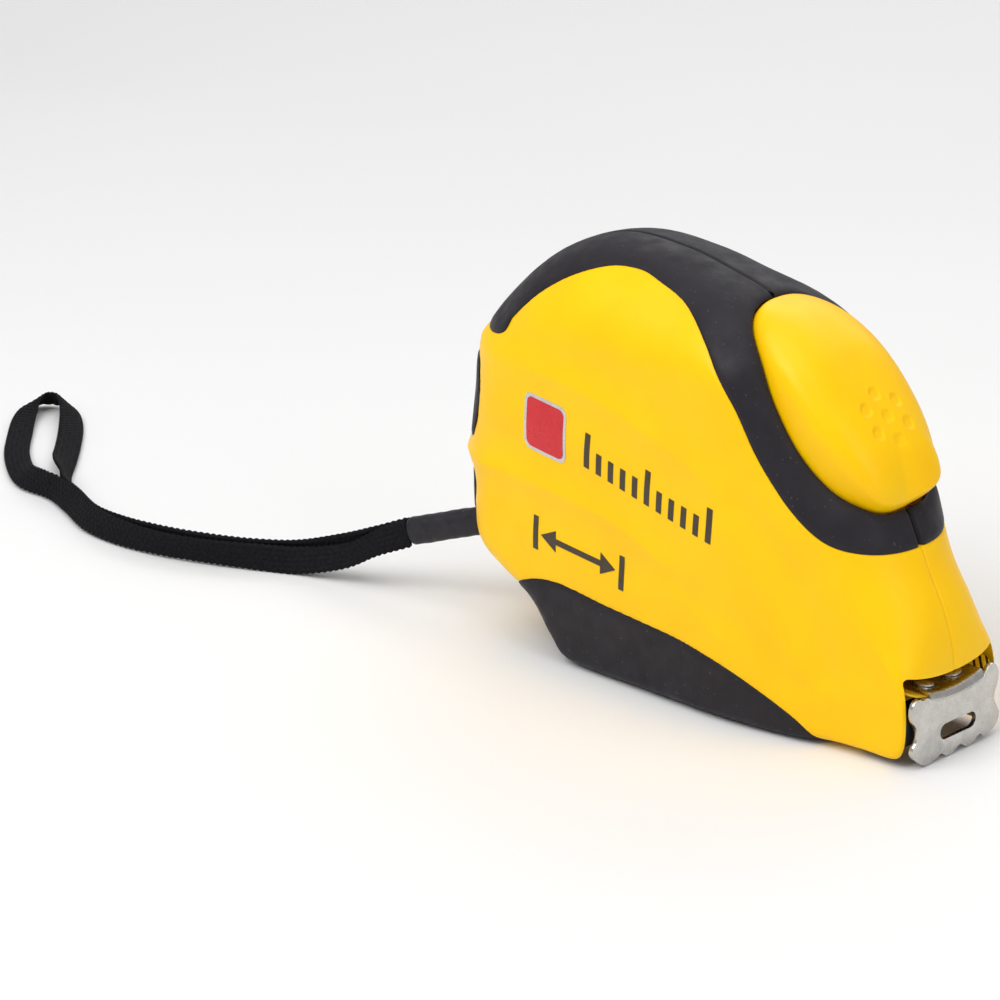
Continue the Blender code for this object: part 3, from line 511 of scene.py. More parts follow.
def side_rings(inset, count, edge_steps):
    """Rings from the split plane round the rolled edge of one side to the rim of its flat face."""
    loop = even(catmull(outline_controls(), 16, True), count, True, 2)
    along = np.roll(loop[:, :2], -1, 0) - np.roll(loop[:, :2], 1, 0)
    along /= np.linalg.norm(along, axis=1)[:, None]
    inward = np.stack([-along[:, 1], along[:, 0]], axis=1)
    rounding = np.maximum(loop[:, 2] - inset * 0.5, 1.0)
    outline = loop[:, :2] + inward * inset
    rim = unfolded(outline + inward * rounding[:, None], np.roll(outline, -1, 0) - outline)
    near_seam = [0.0, 0.006, 0.013, 0.022, 0.034, 0.05, 0.07] if edge_steps > 8 else [0.0]
    outs = near_seam + [math.sin((k + 1) / edge_steps * math.pi / 2) for k in range(edge_steps)]
    rings = []
    for out in outs:
        drop = 1 - (1 - min(out, 1.0) ** loop[:, 3]) ** (1 / loop[:, 3])
        flat = outline + (rim - outline) * drop[:, None]
        flat[:, 1] = np.maximum(flat[:, 1], inset)
        y = (half_thickness(flat[:, 0]) - inset) * out * RIM_SHARE
        rings.append(np.stack([flat[:, 0], y, flat[:, 1]], axis=1))
    return rings


def side_face(rim, inset, spacing):
    """Evenly spread points inside the rim, gently domed, and the triangles that join them to it."""
    count = len(rim)
    flat = rim[:, (0, 2)]
    low, high = flat.min(axis=0), flat.max(axis=0)
    x, z = np.meshgrid(np.arange(low[0], high[0], spacing), np.arange(low[1], high[1], spacing * 0.87))
    x[1::2] += spacing / 2
    x, z = x.ravel(), z.ravel()
    border = np.vstack((flat, flat[:1]))
    keep = distance_to(x, z, border) > spacing * 0.55
    points = np.vstack((flat, np.column_stack((x[keep], z[keep]))))
    edge = [(i, (i + 1) % count) for i in range(count)]
    spots = [Vector(p) for p in points]
    _, _, corners, origin, _, _ = geometry.delaunay_2d_cdt(spots, edge, [], 1, 1e-6)
    origin = np.array([ids[0] for ids in origin])
    triangles = origin[np.array(corners)]
    used = np.unique(triangles)
    inner = used[used >= count]
    number = np.arange(len(points))
    number[inner] = count + np.arange(len(inner))
    triangles = number[triangles]
    points = points[np.concatenate((np.arange(count), inner))]
    inside = distance_to(points[:, 0], points[:, 1], border)
    dome = RIM_SHARE + (1 - RIM_SHARE) * smoothstep(inside, 0.0, DOME_REACH)
    pairs = np.vstack((triangles[:, (0, 1)], triangles[:, (1, 2)], triangles[:, (2, 0)]))
    pairs = np.vstack((pairs, pairs[:, ::-1]))
    neighbours = np.bincount(pairs[:, 0], minlength=len(points))
    for _ in range(DOME_PASSES):
        total = np.bincount(pairs[:, 0], dome[pairs[:, 1]], len(points))
        dome[count:] = (total / neighbours)[count:]
    y = (half_thickness(points[:, 0]) - inset) * dome
    return np.column_stack((points[:, 0], y, points[:, 1]))[count:], triangles


def envelope(name, inset, sides=(-1, 1), skin=None, seam=0.0, count=360, edge_steps=18, spacing=0.9,
             relief=None):
    """The pillow body as a closed mesh; relief(x, y, z) gives how deep a point is sunk along its normal."""
    rings = side_rings(inset, count, edge_steps)
    inner, triangles = side_face(rings[-1], inset, spacing)
    rings[0][:, 1] = seam
    verts, faces = [], []
    for side in sides:
        start = len(verts)
        for ring in rings:
            verts += [tuple(p) for p in ring * (1, side, 1)]
        for level in range(len(rings) - 1):
            near, far = start + level * count, start + (level + 1) * count
            faces += [(near + i, near + (i + 1) % count, far + (i + 1) % count, far + i)
                      for i in range(count)]
        rim = start + (len(rings) - 1) * count
        verts += [tuple(p) for p in inner * (1, side, 1)]
        faces += [tuple(int(i) for i in corners) for corners in rim + triangles]
    if len(sides) == 1:
        faces.append(tuple(range(count)))
    made = add_mesh(name, verts, faces, skin, 50.0)
    shape = bmesh.new()
    shape.from_mesh(made.data)
    bmesh.ops.triangulate(shape, faces=[f for f in shape.faces if len(f.verts) > 4])
    shape.to_mesh(made.data)
    shape.free()
    if relief:
        for reach in (2.6, 1.3):
            refine(made.data, reach)
        sink(made.data, relief, seam)
    soften(made.data, 50.0)
    return made


def refine(mesh, reach):
    """Halve the edges that lie near a parting line or the rim of the button opening."""
    shape = bmesh.new()
    shape.from_mesh(mesh)
    places = np.array([v.co for v in shape.verts]) / MM
    x, y, z = places.T
    near = well_distance(x, y, z)
    for edge in EDGES.values():
        near = np.minimum(near, distance_to(x, z, edge))
    close = near < reach
    edges = [e for e in shape.edges if close[e.verts[0].index] and close[e.verts[1].index]]
    bmesh.ops.subdivide_edges(shape, edges=edges, cuts=1, use_grid_fill=True)
    shape.to_mesh(mesh)
    shape.free()


def sink(mesh, relief, seam):
    count = len(mesh.vertices)
    places, normals = np.empty(count * 3), np.empty(count * 3)
    mesh.vertices.foreach_get("co", places)
    mesh.vertices.foreach_get("normal", normals)
    places, normals = places.reshape(-1, 3) / MM, normals.reshape(-1, 3)
    on_seam = np.abs(places[:, 1]) <= seam + 1e-4
    normals[on_seam, 1] = 0.0
    depth = relief(places[:, 0], places[:, 1], places[:, 2])
    moved = (places - normals * depth[:, None]) * MM
    mesh.vertices.foreach_set("co", moved.ravel())
    mesh.update()


# -------- regions of the skin

GRIP_EDGE = [
    (-80.0, 60.6), (-51.8, 62.6), (-46.3, 67.6), (-40.1, 73.4), (-33.5, 77.9), (-26.4, 80.9), (-20.5, 81.6),
    (-14.5, 80.9), (-4.5, 78.0), (5.0, 72.6), (12.5, 64.2), (18.3, 54.8), (24.9, 46.6), (31.2, 41.6),
    (37.4, 39.4), (47.0, 38.6), (70.0, 38.6),
]
UPPER_EDGE = [
    (-80, 57.8), (-58.6, 57.2), (-55.8, 53.0), (-55.2, 47.8), (-56.8, 42.5), (-60.4, 38.9), (-80, 38.4),
]
LOWER_EDGE = [(-80, 33.9), (-61.2, 33.4), (-57.6, 31.0), (-56.6, 27.6), (-58.2, 24.4), (-80, 24.0)]
FOOT_EDGE = [
    (-49.5, 9.0), (-45.0, 12.6), (-39.2, 15.6), (-33.5, 17.0), (-27.0, 17.1), (-18.2, 16.2), (-8.5, 15.4),
    (1.8, 14.4), (11.3, 12.2), (19.5, 8.9), (27.6, 4.6), (32.5, 0.9),
]
EDGES = {name: catmull(points, 10, False) for name, points in
         (("grip", GRIP_EDGE), ("upper", UPPER_EDGE), ("lower", LOWER_EDGE), ("foot", FOOT_EDGE))}
CLOSING = {"grip": [(70, 100), (-80, 100)], "upper": [], "lower": [], "foot": [(33.5, -5), (-60, -5)]}


def roll_off(distance, radius, depth):
    """How far a surface falls away within radius of its edge, like a rounded lip."""
    share = np.clip(1 - distance / radius, 0, 1)
    return depth * (1 - np.sqrt(1 - share ** 2))


def region(name, spread):
    """Prism of one rubber region, its edge moved inward by spread."""
    edge = EDGES[name]
    along = np.gradient(edge, axis=0)
    along /= np.linalg.norm(along, axis=1)[:, None]
    closed = np.vstack((edge, CLOSING[name])) if CLOSING[name] else edge
    area = np.sum(closed[:, 0] * np.roll(closed[:, 1], -1) - np.roll(closed[:, 0], -1) * closed[:, 1])
    turn = 1 if area > 0 else -1
    moved = edge + np.stack([-along[:, 1], along[:, 0]], axis=1) * turn * spread
    return prism("region_" + name, [tuple(p) for p in moved] + CLOSING[name], -40, 40)


# -------- button frame

SLOPE_TOP, SLOPE_END = Vector((5.0, 0.0, 79.4)), Vector((39.6, 0.0, 45.6))
SLOPE_LENGTH = (SLOPE_END - SLOPE_TOP).length
ALONG = (SLOPE_END - SLOPE_TOP).normalized()
OUT = Vector((-ALONG.z, 0.0, ALONG.x))
EGG_HALF, EGG_GAP = 14.2, 0.45


def slope_point(t, y, h):
    return SLOPE_TOP + ALONG * t + OUT * h + Vector((0.0, y, 0.0))


def egg_loop(count, grow=0.0):
    loop = []
    for k in range(count):
        angle = 2 * math.pi * (k + 0.5) / count
        t = SLOPE_LENGTH / 2 - (SLOPE_LENGTH / 2 - 0.9 + grow) * math.cos(angle)
        swell = 1 + 0.06 * math.cos(angle)
        fullness = 0.8 if math.cos(angle) > 0 else 0.56
        y = (EGG_HALF + grow) * swell * math.copysign(abs(math.sin(angle)) ** fullness, math.sin(angle))
        loop.append((t, y))
    return loop


def well_distance(x, y, z):
    """Distance from the rim of the button opening, for points near the slope; far away elsewhere."""
    dx, dz = x - SLOPE_TOP.x, z - SLOPE_TOP.z
    t, h = dx * ALONG.x + dz * ALONG.z, dx * OUT.x + dz * OUT.z
    loop = egg_loop(160, EGG_GAP)
    distance = distance_to(t, y, loop + loop[:1])
    return np.where(np.abs(h) < 14, distance, 99.0)


# -------- relief of the two materials

CREST_UPPER = [
    (-66, 60.4), (-55.2, 59.8), (-44, 59.4), (-35.5, 59.2), (-27.4, 58.6), (-16.9, 56.6), (-7.4, 54.0),
    (4.4, 49.8), (12.6, 45.2), (18.3, 40.3), (24, 33),
]
CREST_LOWER = [
    (-66, 37.0), (-51.9, 36.8), (-46.3, 36.9), (-33, 36.4), (-20.7, 35.0), (-13.7, 33.4), (-6.7, 30.8),
    (4.3, 26.2), (16.9, 19.7), (30.6, 12.4),
]
SCOOP_UPPER = [(14.8, 44.3), (19.9, 39.0), (25.7, 32.1), (30.0, 24.2), (33.6, 15.0)]
SCOOP_LOWER = [(0.0, 26.9), (10.8, 22.6), (19.8, 18.0), (29.0, 11.3)]


def yellow_relief(x, y, z):
    depth = np.zeros(len(x))
    for line, height, fade_from, fade_to in ((CREST_UPPER, 0.62, -30, 24), (CREST_LOWER, 0.75, -34, 30)):
        distance = distance_to(x, z, catmull(line, 6, False))
        strength = height * (1 - smoothstep(x, fade_from, fade_to) * 0.72)
        depth -= strength * np.exp(-distance / 2.2) * smoothstep(np.abs(y), 2.0, 12.0)
        depth += 0.35 * strength * np.exp(-((distance - 6.0) / 3.4) ** 2) * smoothstep(np.abs(y), 6.0, 16.0)
    for line, width, deep in ((SCOOP_UPPER, 3.4, 0.85), (SCOOP_LOWER, 3.0, 0.6)):
        distance = distance_to(x, z, catmull(line, 6, False))
        depth += deep * np.exp(-(distance / width) ** 2) * smoothstep(np.abs(y), 8.0, 14.0)
    for edge in EDGES.values():
        depth += roll_off(distance_to(x, z, edge), 0.8, 0.25)
    depth += 0.16 * np.exp(-(y / 0.3) ** 2)
    return depth


def rubber_relief(x, y, z):
    depth = np.zeros(len(x))
    for edge in EDGES.values():
        depth += roll_off(distance_to(x, z, edge), 1.5, 0.6)
    depth += roll_off(well_distance(x, y, z), 2.4, 1.0)
    front = smoothstep(x, 30, 38) * smoothstep(z, 30, 36)
    depth += (0.3 + 0.7 * front) * np.exp(-(y / (0.35 + 0.25 * front)) ** 2) * smoothstep(z, 20, 30)
    return depth


# -------- case halves and rubber

SCREW_SPOTS = ((-51.5, 57.8), (-50.5, 19.5), (12.0, 24.5), (34.0, 28.0))
CLIP_X, CLIP_SCREW_Z = -20.0, 60.0


def gate(name, x_low, x_high, z_low, z_middle, z_side, radius):
    """Cutter along X whose top sags toward the middle like the blade, with rounded upper corners."""
    ring = [(-MOUTH_HALF, z_low), (MOUTH_HALF, z_low)]
    for k in range(49):
        y = MOUTH_HALF * math.cos(math.pi * k / 48)
        corner = max(0.0, abs(y) - (MOUTH_HALF - radius)) / radius
        top = z_middle + (z_side - z_middle) * (y / MOUTH_HALF) ** 2
        ring.append((y, top - radius * (1 - math.sqrt(max(0.0, 1 - corner ** 2)))))
    return stack(name, [[(x, y, z) for y, z in ring] for x in (x_low, x_high)])


def make_case():
    core = envelope("core", RUBBER_DEPTH + FIT, count=200, edge_steps=8, spacing=2.5)
    tools = []
    for name in EDGES:
        recess = region(name, 0.0)
        carve(recess, [core])
        tools.append(recess)
    well = stack("well", [[tuple(slope_point(t, y, h)) for t, y in egg_loop(140, EGG_GAP)] for h in (-9, 14)])
    tools += [
        well,
        rod("room", (REEL_X, -ROOM_HALF, REEL_Z), (REEL_X, ROOM_HALF, REEL_Z), ROOM_R, sides=96),
        gate("channel", -22, 45, 8.5, MOUTH_TOP, MOUTH_TOP, 0.6),
        gate("mouth", MOUTH_BACK, 58, -3, MOUTH_TOP - 0.9, MOUTH_TOP + 0.7, 1.3),
        prism("brake_way", ((2.0, 70.0), (16.0, 64.0), (17.0, 50.0), (0.0, 44.0)), -7, 7),
    ]
    halves = []
    for side, name, node in ((-1, "shell_right", "case_half_right"), (1, "shell_left", "case_half_left")):
        half = envelope(name, RUBBER_PROUD, (side,), skins["case"], SPLIT_GAP, relief=yellow_relief)
        extra = []
        if side > 0:
            for number, (x, z) in enumerate(SCREW_SPOTS):
                seat = float(half_thickness(x)) - 6.5
                extra.append(rod("counterbore_%d" % number, (x, seat, z), (x, 30, z), 3.3))
        else:
            away = (SLEEVE_START - SLEEVE_END).normalized() * 4
            extra.append(rod("strap_hole", SLEEVE_START + away, SLEEVE_END, 3.3))
        carve(half, tools + extra)
        discard(*extra)
        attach(half, "case")
        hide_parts(node)
        halves.append(half)
    discard(core, *tools)
    return halves


def make_rubber():
    inner = envelope("inner", RUBBER_DEPTH, count=200, edge_steps=8, spacing=2.5)
    rings = [[tuple(slope_point(t, y, h)) for t, y in egg_loop(140, EGG_GAP)] for h in (-12, 14)]
    well = stack("well", rings)
    start = SLEEVE_START + (SLEEVE_START - SLEEVE_END).normalized() * 4
    strap_way = rod("strap_way", start, SLEEVE_END, 3.4)
    jobs = (
        ("top_grip_right", "grip_top_right", "grip", (-1,), [well]),
        ("top_grip_left", "grip_top_left", "grip", (1,), [well]),
        ("back_pad_upper", "rear_pad_upper", "upper", (-1, 1), []),
        ("back_pad_lower", "rear_pad_lower", "lower", (-1, 1), [strap_way]),
        ("foot_pad", "base_foot", "foot", (-1, 1), []),
    )
    for name, node, zone, sides, extra in jobs:
        seam = SPLIT_GAP if len(sides) == 1 else 0.0
        piece = envelope(name, 0.0, sides, skins["grip"], seam, relief=rubber_relief)
        keep = region(zone, FIT)
        carve(piece, [keep], "INTERSECT")
        carve(piece, [inner] + extra)
        discard(keep)
        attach(piece, "case")
        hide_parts(node)
    discard(inner, well, strap_way)


case_halves = make_case()
make_rubber()


# -------- brake button

PIVOT_T, PIVOT_H, BORE_R = 5.0, -3.2, 1.6
BUTTON_MIDDLE, DIMPLE_T, DIMPLE_RING, DIMPLE_R, DIMPLE_DEEP = 20.0, 32.4, 4.9, 1.45, 0.3


def crown_height(t):
    knots = np.array([(-6, -3.6), (0, 1.6), (3, 3.7), (8, 5.8), (14, 7.1), (20, 7.8), (30, 8.0),
                      (39, 7.4), (44.5, 6.0), (48.4, 4.0), (54, 0.4)])
    curve = catmull(knots, 12, False)
    return np.interp(t, curve[:, 0], curve[:, 1])


def make_button():
    egg = np.array(egg_loop(260))
    raised = np.interp(egg[:, 0], (0, 38, 44, 48.4), (0.0, 0.0, 5.6, 8.0)) * smoothstep(egg[:, 1], -9.0, 6.0)
    skirt = raised - 5.0
    rings = []
    for share in (0.0, 0.35, 0.7):
        h = skirt + (0.6 - skirt) * share if share else skirt
        rings.append(np.column_stack((egg, np.minimum(h, 3.2))))
    spots = [(DIMPLE_T, 0.0)] + [(DIMPLE_T + DIMPLE_RING * math.cos(math.radians(60 * k)),
                                  DIMPLE_RING * math.sin(math.radians(60 * k))) for k in range(6)]
    shares = [1.0, 0.999, 0.996, 0.992, 0.986, 0.978, 0.968, 0.955, 0.94, 0.922]
    shares += [0.9 - 0.0125 * k for k in range(72)]
    for share in shares:
        t = BUTTON_MIDDLE + (egg[:, 0] - BUTTON_MIDDLE) * share
        y = egg[:, 1] * share
        lift = max(0.0, 1 - share ** 3.2) ** 0.36
        base = np.maximum(np.minimum(skirt + 2.0, 3.4), 0.4)
        h = base + (crown_height(t) - base) * lift
        for spot_t, spot_y in spots:
            reach = np.hypot(t - spot_t, y - spot_y)
            h -= DIMPLE_DEEP * (1 - smoothstep(reach, DIMPLE_R - 0.5, DIMPLE_R))
            h += 0.03 * np.exp(-((reach - DIMPLE_R - 0.25) / 0.3) ** 2)
        rings.append(np.column_stack((t, y, h)))
    placed = [[tuple(slope_point(*row)) for row in ring] for ring in rings]
    button = stack("thumb_button", placed, skins["button"], 45.0)
    arm = prism("arm", ((8.5, 71.5), (14.5, 66.5), (13.6, 53.0), (10.4, 51.0), (9.4, 53.0)), -4, 4)
    carve(button, [arm], "UNION")
    bore = rod("bore", slope_point(PIVOT_T, -20, PIVOT_H), slope_point(PIVOT_T, 20, PIVOT_H), BORE_R)
    carve(button, [bore])
    soften(button.data, 45.0)
    discard(arm, bore)
    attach(button, "button")
    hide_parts("brake_button")


make_button()


# -------- blade

BLADE_HALF, BLADE_THICK, BLADE_CUP, BLADE_Z, BLADE_END_X = 12.5, 0.4, 2.5, 12.6, 51.2


def blade_top(x, y):
    return BLADE_Z + BLADE_CUP * smoothstep(x, -14.0, 10.0) * (y / BLADE_HALF) ** 2


def blade_material():
    """Yellow lacquer with black graduations along both edges and hatched marks, worked out from position."""
    made = material("blade_print", (0.95, 0.62, 0.03), 0.32, second=(0.88, 0.55, 0.02), patch=0.004,
                    rough_spread=0.06, bump=(0.0003, 0.05))
    nodes, links = made.node_tree.nodes, made.node_tree.links
    shader = nodes["Principled BSDF"]
    tone = shader.inputs["Base Color"].links[0].from_socket
    place = nodes.new("ShaderNodeTexCoord")
    split = nodes.new("ShaderNodeSeparateXYZ")
    links.new(place.outputs["Object"], split.inputs["Vector"])

    def calc(operation, first, second=None):
        step = nodes.new("ShaderNodeMath")
        step.operation = operation
        for socket, value in zip(step.inputs, (first, second)):
            if value is None:
                continue
            if hasattr(value, "links"):
                links.new(value, socket)
            else:
                socket.default_value = value
        return step.outputs[0]

    x, y = split.outputs["X"], split.outputs["Y"]
    from_edge = calc("SUBTRACT", BLADE_HALF * MM, calc("ABSOLUTE", y))

    def ticks(pitch, width, reach):
        phase = calc("FRACT", calc("DIVIDE", x, pitch * MM))
        on_mark = calc("LESS_THAN", phase, width / pitch)
        near_edge = calc("LESS_THAN", from_edge, reach * MM)
        return calc("MULTIPLY", on_mark, near_edge)

    marks = calc("MAXIMUM", ticks(1.0, 0.22, 2.6), ticks(5.0, 0.26, 4.2))
    marks = calc("MAXIMUM", marks, ticks(10.0, 0.3, 6.4))
    slant = calc("FRACT", calc("DIVIDE", calc("ADD", x, y), 1.7 * MM))
    hatch = calc("MULTIPLY", calc("LESS_THAN", slant, 0.42), calc("GREATER_THAN", y, 7.0 * MM))
    at_end = calc("GREATER_THAN", x, 38.0 * MM)
    marks = calc("MULTIPLY", marks, calc("SUBTRACT", 1.0, at_end))
    marks = calc("MAXIMUM", marks, calc("MULTIPLY", hatch, at_end))
    ink = nodes.new("ShaderNodeMix")
    ink.data_type = "RGBA"
    links.new(marks, ink.inputs["Factor"])
    links.new(tone, ink.inputs[6])
    ink.inputs[7].default_value = (0.012, 0.01, 0.008, 1.0)
    links.new(ink.outputs[2], shader.inputs["Base Color"])
    return made


def make_blade():
    rings = []
    stations = list(np.linspace(-20, 48.2, 90)) + [49.2, 50.0, 50.6, 51.0, BLADE_END_X]
    for x in stations:
        half = BLADE_HALF - 1.6 * max(0.0, (x - 48.2) / 3.0) ** 2
        across = np.linspace(-half, half, 25)
        top = [(x, y, float(blade_top(x, y))) for y in across]
        under = [(x, y, float(blade_top(x, y)) - BLADE_THICK) for y in across[::-1]]
        rings.append(top + under)
    blade = stack("blade_strip", rings, blade_material())
    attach(blade, "blade")
    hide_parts("blade_front")


make_blade()


# -------- end hook and its rivets

HOOK_X, HOOK_THICK, TONGUE_HALF, TONGUE_BACK, RIVET_X, RIVET_Y = 51.6, 0.9, 8.0, 43.0, 47.2, 4.2
SLOT_Y, SLOT_Z, SLOT_HALF, SLOT_R = 0.3, 5.5, 5.3, 1.6


def hook_outline():
    """Front view of the hook plate (y, z), round from its lowest corner, up the left side."""
    left = [(-8.5, 0.2), (-9.6, 0.45), (-11.2, 1.4), (-12.7, 2.7), (-13.15, 3.7), (-12.9, 4.8),
            (-12.15, 5.7), (-11.85, 7.0), (-12.1, 8.5), (-13.0, 9.7), (-13.55, 11.2), (-13.55, 12.8),
            (-12.9, 13.9), (-11.7, 14.3), (-10.4, 13.7), (-9.2, 13.9), (-8.4, 13.4)]
    dip = [(y, 11.9 + BLADE_CUP * (y / BLADE_HALF) ** 2) for y in (-7.2, -5.0, -2.5, 0.0, 2.5, 5.0, 7.2)]
    right = [(8.4, 14.2), (9.3, 14.9), (10.6, 15.0), (11.6, 14.0), (12.1, 12.4), (11.8, 10.5), (11.1, 8.9),
             (11.1, 7.4), (11.9, 6.0), (12.65, 4.6), (12.5, 3.2), (11.8, 2.1), (10.9, 1.55), (9.9, 1.35)]
    teeth = [(9.2, 0.95), (8.2, 0.9), (7.5, 1.55), (6.6, 1.6), (5.8, 0.9), (5.0, 0.75), (4.1, 0.4),
             (3.1, 0.4), (2.2, 0.9), (1.3, 1.35), (0.4, 1.2), (-0.3, 0.9), (-1.0, 0.35), (-1.8, 0.25),
             (-3.1, 0.4), (-3.9, 1.0), (-4.8, 1.25), (-5.7, 0.85), (-6.6, 0.6), (-7.5, 0.4)]
    return left + dip + right + teeth


def hook_plate():
    outline = even(catmull(hook_outline(), 6, True), 320, True, 2)
    rings = [[(x, y, z) for y, z in outline] for x in (HOOK_X, HOOK_X + HOOK_THICK)]
    plate = stack("hook_plate", rings, skins["hook"])
    window = []
    for x in (HOOK_X - 2, HOOK_X + 4):
        ring = []
        for k in range(40):
            angle = 2 * math.pi * (k + 0.5) / 40
            centre = SLOT_Y + math.copysign(SLOT_HALF - SLOT_R, math.cos(angle))
            ring.append((x, centre + SLOT_R * math.cos(angle), SLOT_Z + SLOT_R * math.sin(angle)))
        window.append(ring)
    hole = stack("window", window)
    carve(plate, [hole])
    discard(hole)
    return plate


def hook_tongue():
    """The flat part over the blade and the bend that turns it down into the plate."""
    bend = 1.7
    profile_out = [(TONGUE_BACK, 0.0), (46.0, 0.0), (HOOK_X + HOOK_THICK - bend, 0.0)]
    profile_in = [(TONGUE_BACK, -0.7), (46.0, -0.7), (HOOK_X + HOOK_THICK - bend, -0.7)]
    for k in range(1, 9):
        angle = math.radians(90 * k / 8)
        centre = HOOK_X + HOOK_THICK - bend
        profile_out.append((centre + bend * math.sin(angle), bend * math.cos(angle) - bend))
        tight = bend - HOOK_THICK
        profile_in.append((centre + tight * math.sin(angle), (bend - 0.7) * math.cos(angle) - bend))
    profile_out.append((HOOK_X + HOOK_THICK, -bend - 1.2))
    profile_in.append((HOOK_X, -bend - 1.2))
    profile = profile_out + profile_in[::-1]
    rings = []
    for k in range(33):
        v = -1 + k / 16
        y = TONGUE_HALF * v
        ring = []
        for x, rise in profile:
            taper = 1 - 0.18 * max(0.0, (46.0 - x) / 3.0) ** 2
            top = float(blade_top(x, y * taper)) + 0.85
            ring.append((x, y * taper, top + rise))
        rings.append(ring)
    return stack("tongue", rings)


def rivet_axis(side):
    slope = 2 * BLADE_CUP * side * RIVET_Y / BLADE_HALF ** 2
    out = Vector((0.0, -slope, 1.0)).normalized()
    return Vector((RIVET_X, side * RIVET_Y, float(blade_top(RIVET_X, RIVET_Y)))), out


def make_hook():
    plate, tongue = hook_plate(), hook_tongue()
    carve(plate, [tongue], "UNION", "EXACT")
    discard(tongue)
    round_edges(plate, 0.14, 2, 40.0)
    plate.name = "end_hook"
    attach(plate, "hook")
    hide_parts("hook")
    for side, name, node in ((-1, "rivet_right", "hook_rivet_right"), (1, "rivet_left", "hook_rivet_left")):
        foot, out = rivet_axis(side)
        profile = ((0.0, 0.4), (0.02, 0.8), (0.08, 1.0), (0.18, 1.0), (0.2, 0.52), (0.72, 0.52), (0.73, 1.0),
                   (0.83, 0.98), (0.91, 0.86), (0.96, 0.66), (0.99, 0.4), (1.0, 0.14))
        rivet = rod(name, foot - out * 1.1, foot + out * 1.75, 2.2, skins["steel"], 40, profile)
        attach(rivet, "blade")
        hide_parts(node)


make_hook()


# -------- printed marks on the label side

def decal(name, outlines, skin, lift):
    """Thin printed patches: flat outlines (x, z) laid onto the right half of the case."""
    tree = BVHTree.FromObject(case_halves[0], bpy.context.evaluated_depsgraph_get())
    shape = bmesh.new()
    for outline in outlines:
        corners = [shape.verts.new((x * MM, 0.0, z * MM)) for x, z in outline]
        shape.faces.new(corners)
    bmesh.ops.triangulate(shape, faces=shape.faces)
    for _ in range(4):
        long_edges = [e for e in shape.edges if e.calc_length() > 1.3 * MM]
        if not long_edges:
            break
        bmesh.ops.subdivide_edges(shape, edges=long_edges, cuts=1)
        bmesh.ops.triangulate(shape, faces=[f for f in shape.faces if len(f.verts) > 3])
    for vert in shape.verts:
        hit = tree.ray_cast(Vector((vert.co.x, -0.05, vert.co.z)), Vector((0, 1, 0)))[0]
        vert.co.y = hit.y - lift * MM
    bmesh.ops.recalc_face_normals(shape, faces=shape.faces)
    mesh = bpy.data.meshes.new(name)
    shape.to_mesh(mesh)
    shape.free()
    mesh.materials.append(skin)
    made = add(bpy.data.objects.new(name, mesh))
    thick = made.modifiers.new("film", "SOLIDIFY")
    thick.thickness = 0.1 * MM
    thick.offset = 0.0
    settle(made)
    soften(made.data)
    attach(made, "case")
    return made


def tilted_block(start, along, low, high, left, right):
    """Four corners of a block standing on a slanted base line."""
    x0, z0 = start
    return [(x0 + along[0] * a - along[1] * b * 0.25, z0 + along[1] * a + b)
            for a, b in ((left, low), (right, low), (right, high), (left, high))]


def rounded_square(cx, cz, half, radius, lean):
    points = []
    for quarter, (sx, sz) in enumerate(((1, 1), (-1, 1), (-1, -1), (1, -1))):
        for k in range(7):
            angle = math.radians(90 * quarter + 15 * k)
            x = sx * (half - radius) + radius * math.cos(angle)
            z = sz * (half - radius) + radius * math.sin(angle)
            points.append((cx + x, cz + z + lean * x))
    return points


def make_prints():
    decal("badge_edge", [rounded_square(-34.0, 48.6, 5.7, 1.8, -0.1)], skins["badge_silver"], 0.06)
    decal("badge_field", [rounded_square(-34.0, 48.6, 5.0, 1.3, -0.1)], skins["badge_red"], 0.14)
    slant = (0.975, -0.222)
    ticks = []
    for k in range(11):
        tall = 7.0 if k % 5 == 0 else 4.2
        ticks.append(tilted_block((-23.5, 43.4), slant, 0.0, tall, 3.2 * k, 3.2 * k + 1.35))
    decal("scale_marks", ticks, skins["print"], 0.06)
    level = (0.995, -0.1)
    x, z = start = (-37.0, 23.0)
    arrow = [
        tilted_block(start, level, 0.0, 7.0, 0.0, 1.3),
        tilted_block(start, level, 0.0, 7.0, 23.0, 24.3),
        tilted_block(start, level, 2.9, 4.1, 5.6, 18.7),
        [(x + 2.2, z + 3.3), (x + 6.2, z + 0.7), (x + 6.2, z + 5.1)],
        [(x + 22.0, z + 1.3), (x + 18.1, z + 3.9), (x + 18.1, z - 0.5)],
    ]
    decal("length_mark", arrow, skins["print"], 0.06)


make_prints()


# -------- belt clip and mouth bumper

CLIP_HALF, CLIP_THICK = 7.0, 0.9
CLIP_LINE = [
    (21.9, 66.0), (21.9, 60.0), (21.9, 55.0), (23.2, 52.2), (26.2, 49.6), (27.2, 46.0), (27.0, 34.0),
    (26.4, 24.0), (27.0, 20.0), (28.6, 17.0),
]


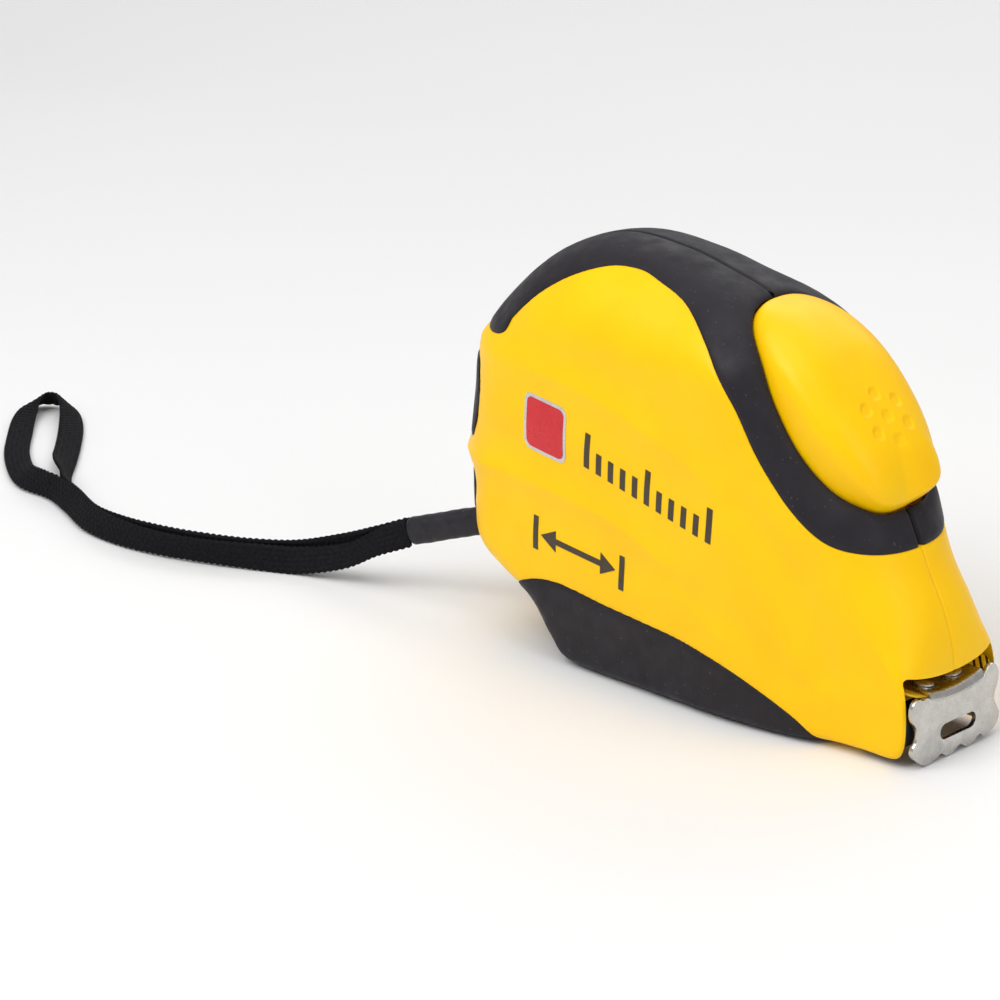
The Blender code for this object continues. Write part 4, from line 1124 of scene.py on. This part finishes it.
def make_clip():
    line = even(catmull(CLIP_LINE, 12, False), 120, False, 2)
    run = np.gradient(line, axis=0)
    run /= np.linalg.norm(run, axis=1)[:, None]
    travelled = np.concatenate(([0.0], np.cumsum(np.linalg.norm(np.diff(line, axis=0), axis=1))))
    rings = []
    for (y, z), (ry, rz), gone in zip(line, run, travelled):
        left = min(gone, travelled[-1] - gone)
        corner = 3.2 if gone < travelled[-1] / 2 else 5.0
        half = CLIP_HALF - corner + math.sqrt(max(corner ** 2 - max(corner - left, 0.0) ** 2, 0.01))
        ring = []
        for k in range(28):
            angle = 2 * math.pi * k / 28
            across = math.copysign(abs(math.cos(angle)) ** 0.16, math.cos(angle)) * half
            depth = math.copysign(abs(math.sin(angle)) ** 0.5, math.sin(angle)) * CLIP_THICK / 2
            ring.append((CLIP_X + across, y - rz * depth, z + ry * depth))
        rings.append(ring)
    clip = stack("clip_strip", rings, skins["clip"], 50.0)
    hole = rod("clip_hole", (CLIP_X, 18, CLIP_SCREW_Z), (CLIP_X, 25, CLIP_SCREW_Z), 1.7)
    carve(clip, [hole])
    discard(hole)
    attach(clip, "case")
    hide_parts("belt_clip")


def make_bumper():
    """Rubber stop behind the hook: a bar with two short legs."""
    low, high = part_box("mouth_bumper")
    half, bottom, top = high[1] / MM, low[2] / MM, high[2] / MM
    leg, under = half - 4.6, bottom + 2.1
    arch = [(-half, bottom), (-leg, bottom), (-leg, under), (leg, under), (leg, bottom), (half, bottom),
            (half, top), (-half, top)]
    rings = [[(x / MM, y, z) for y, z in arch] for x in (low[0], high[0])]
    bumper = stack("rubber_stop", rings, skins["bumper"])
    round_edges(bumper, 0.45, 4, 40.0)
    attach(bumper, "case")
    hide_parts("mouth_bumper")


make_clip()
make_bumper()


# -------- CAD nodes that stay

KEPT = {
    "steel": ("button_pin", "centre_arbor", "guide_pin", "case_screw_1", "case_screw_2", "case_screw_3",
              "case_screw_4", "clip_screw", "strap_anchor"),
    "spring": ("button_spring", "power_spring"),
    "coil": ("blade_coil",),
    "reel": ("reel_hub", "reel_flange_right", "reel_flange_left"),
    "bumper": ("brake_shoe",),
}
for look, names in KEPT.items():
    for node in names:
        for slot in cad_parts[node].material_slots:
            slot.material = skins[look]


# -------- floor

def make_floor():
    size = 4.0
    mesh = bpy.data.meshes.new("floor")
    corners = [(-size, -size, 0), (size, -size, 0), (size, size, 0), (-size, size, 0)]
    mesh.from_pydata(corners, [], [(0, 1, 2, 3)])
    mesh.materials.append(material("floor_pale", (0.86, 0.86, 0.86), 0.75, second=(0.84, 0.84, 0.84),
                                   patch=0.3, bump=(0.002, 0.02)))
    add(bpy.data.objects.new("floor", mesh))


make_floor()
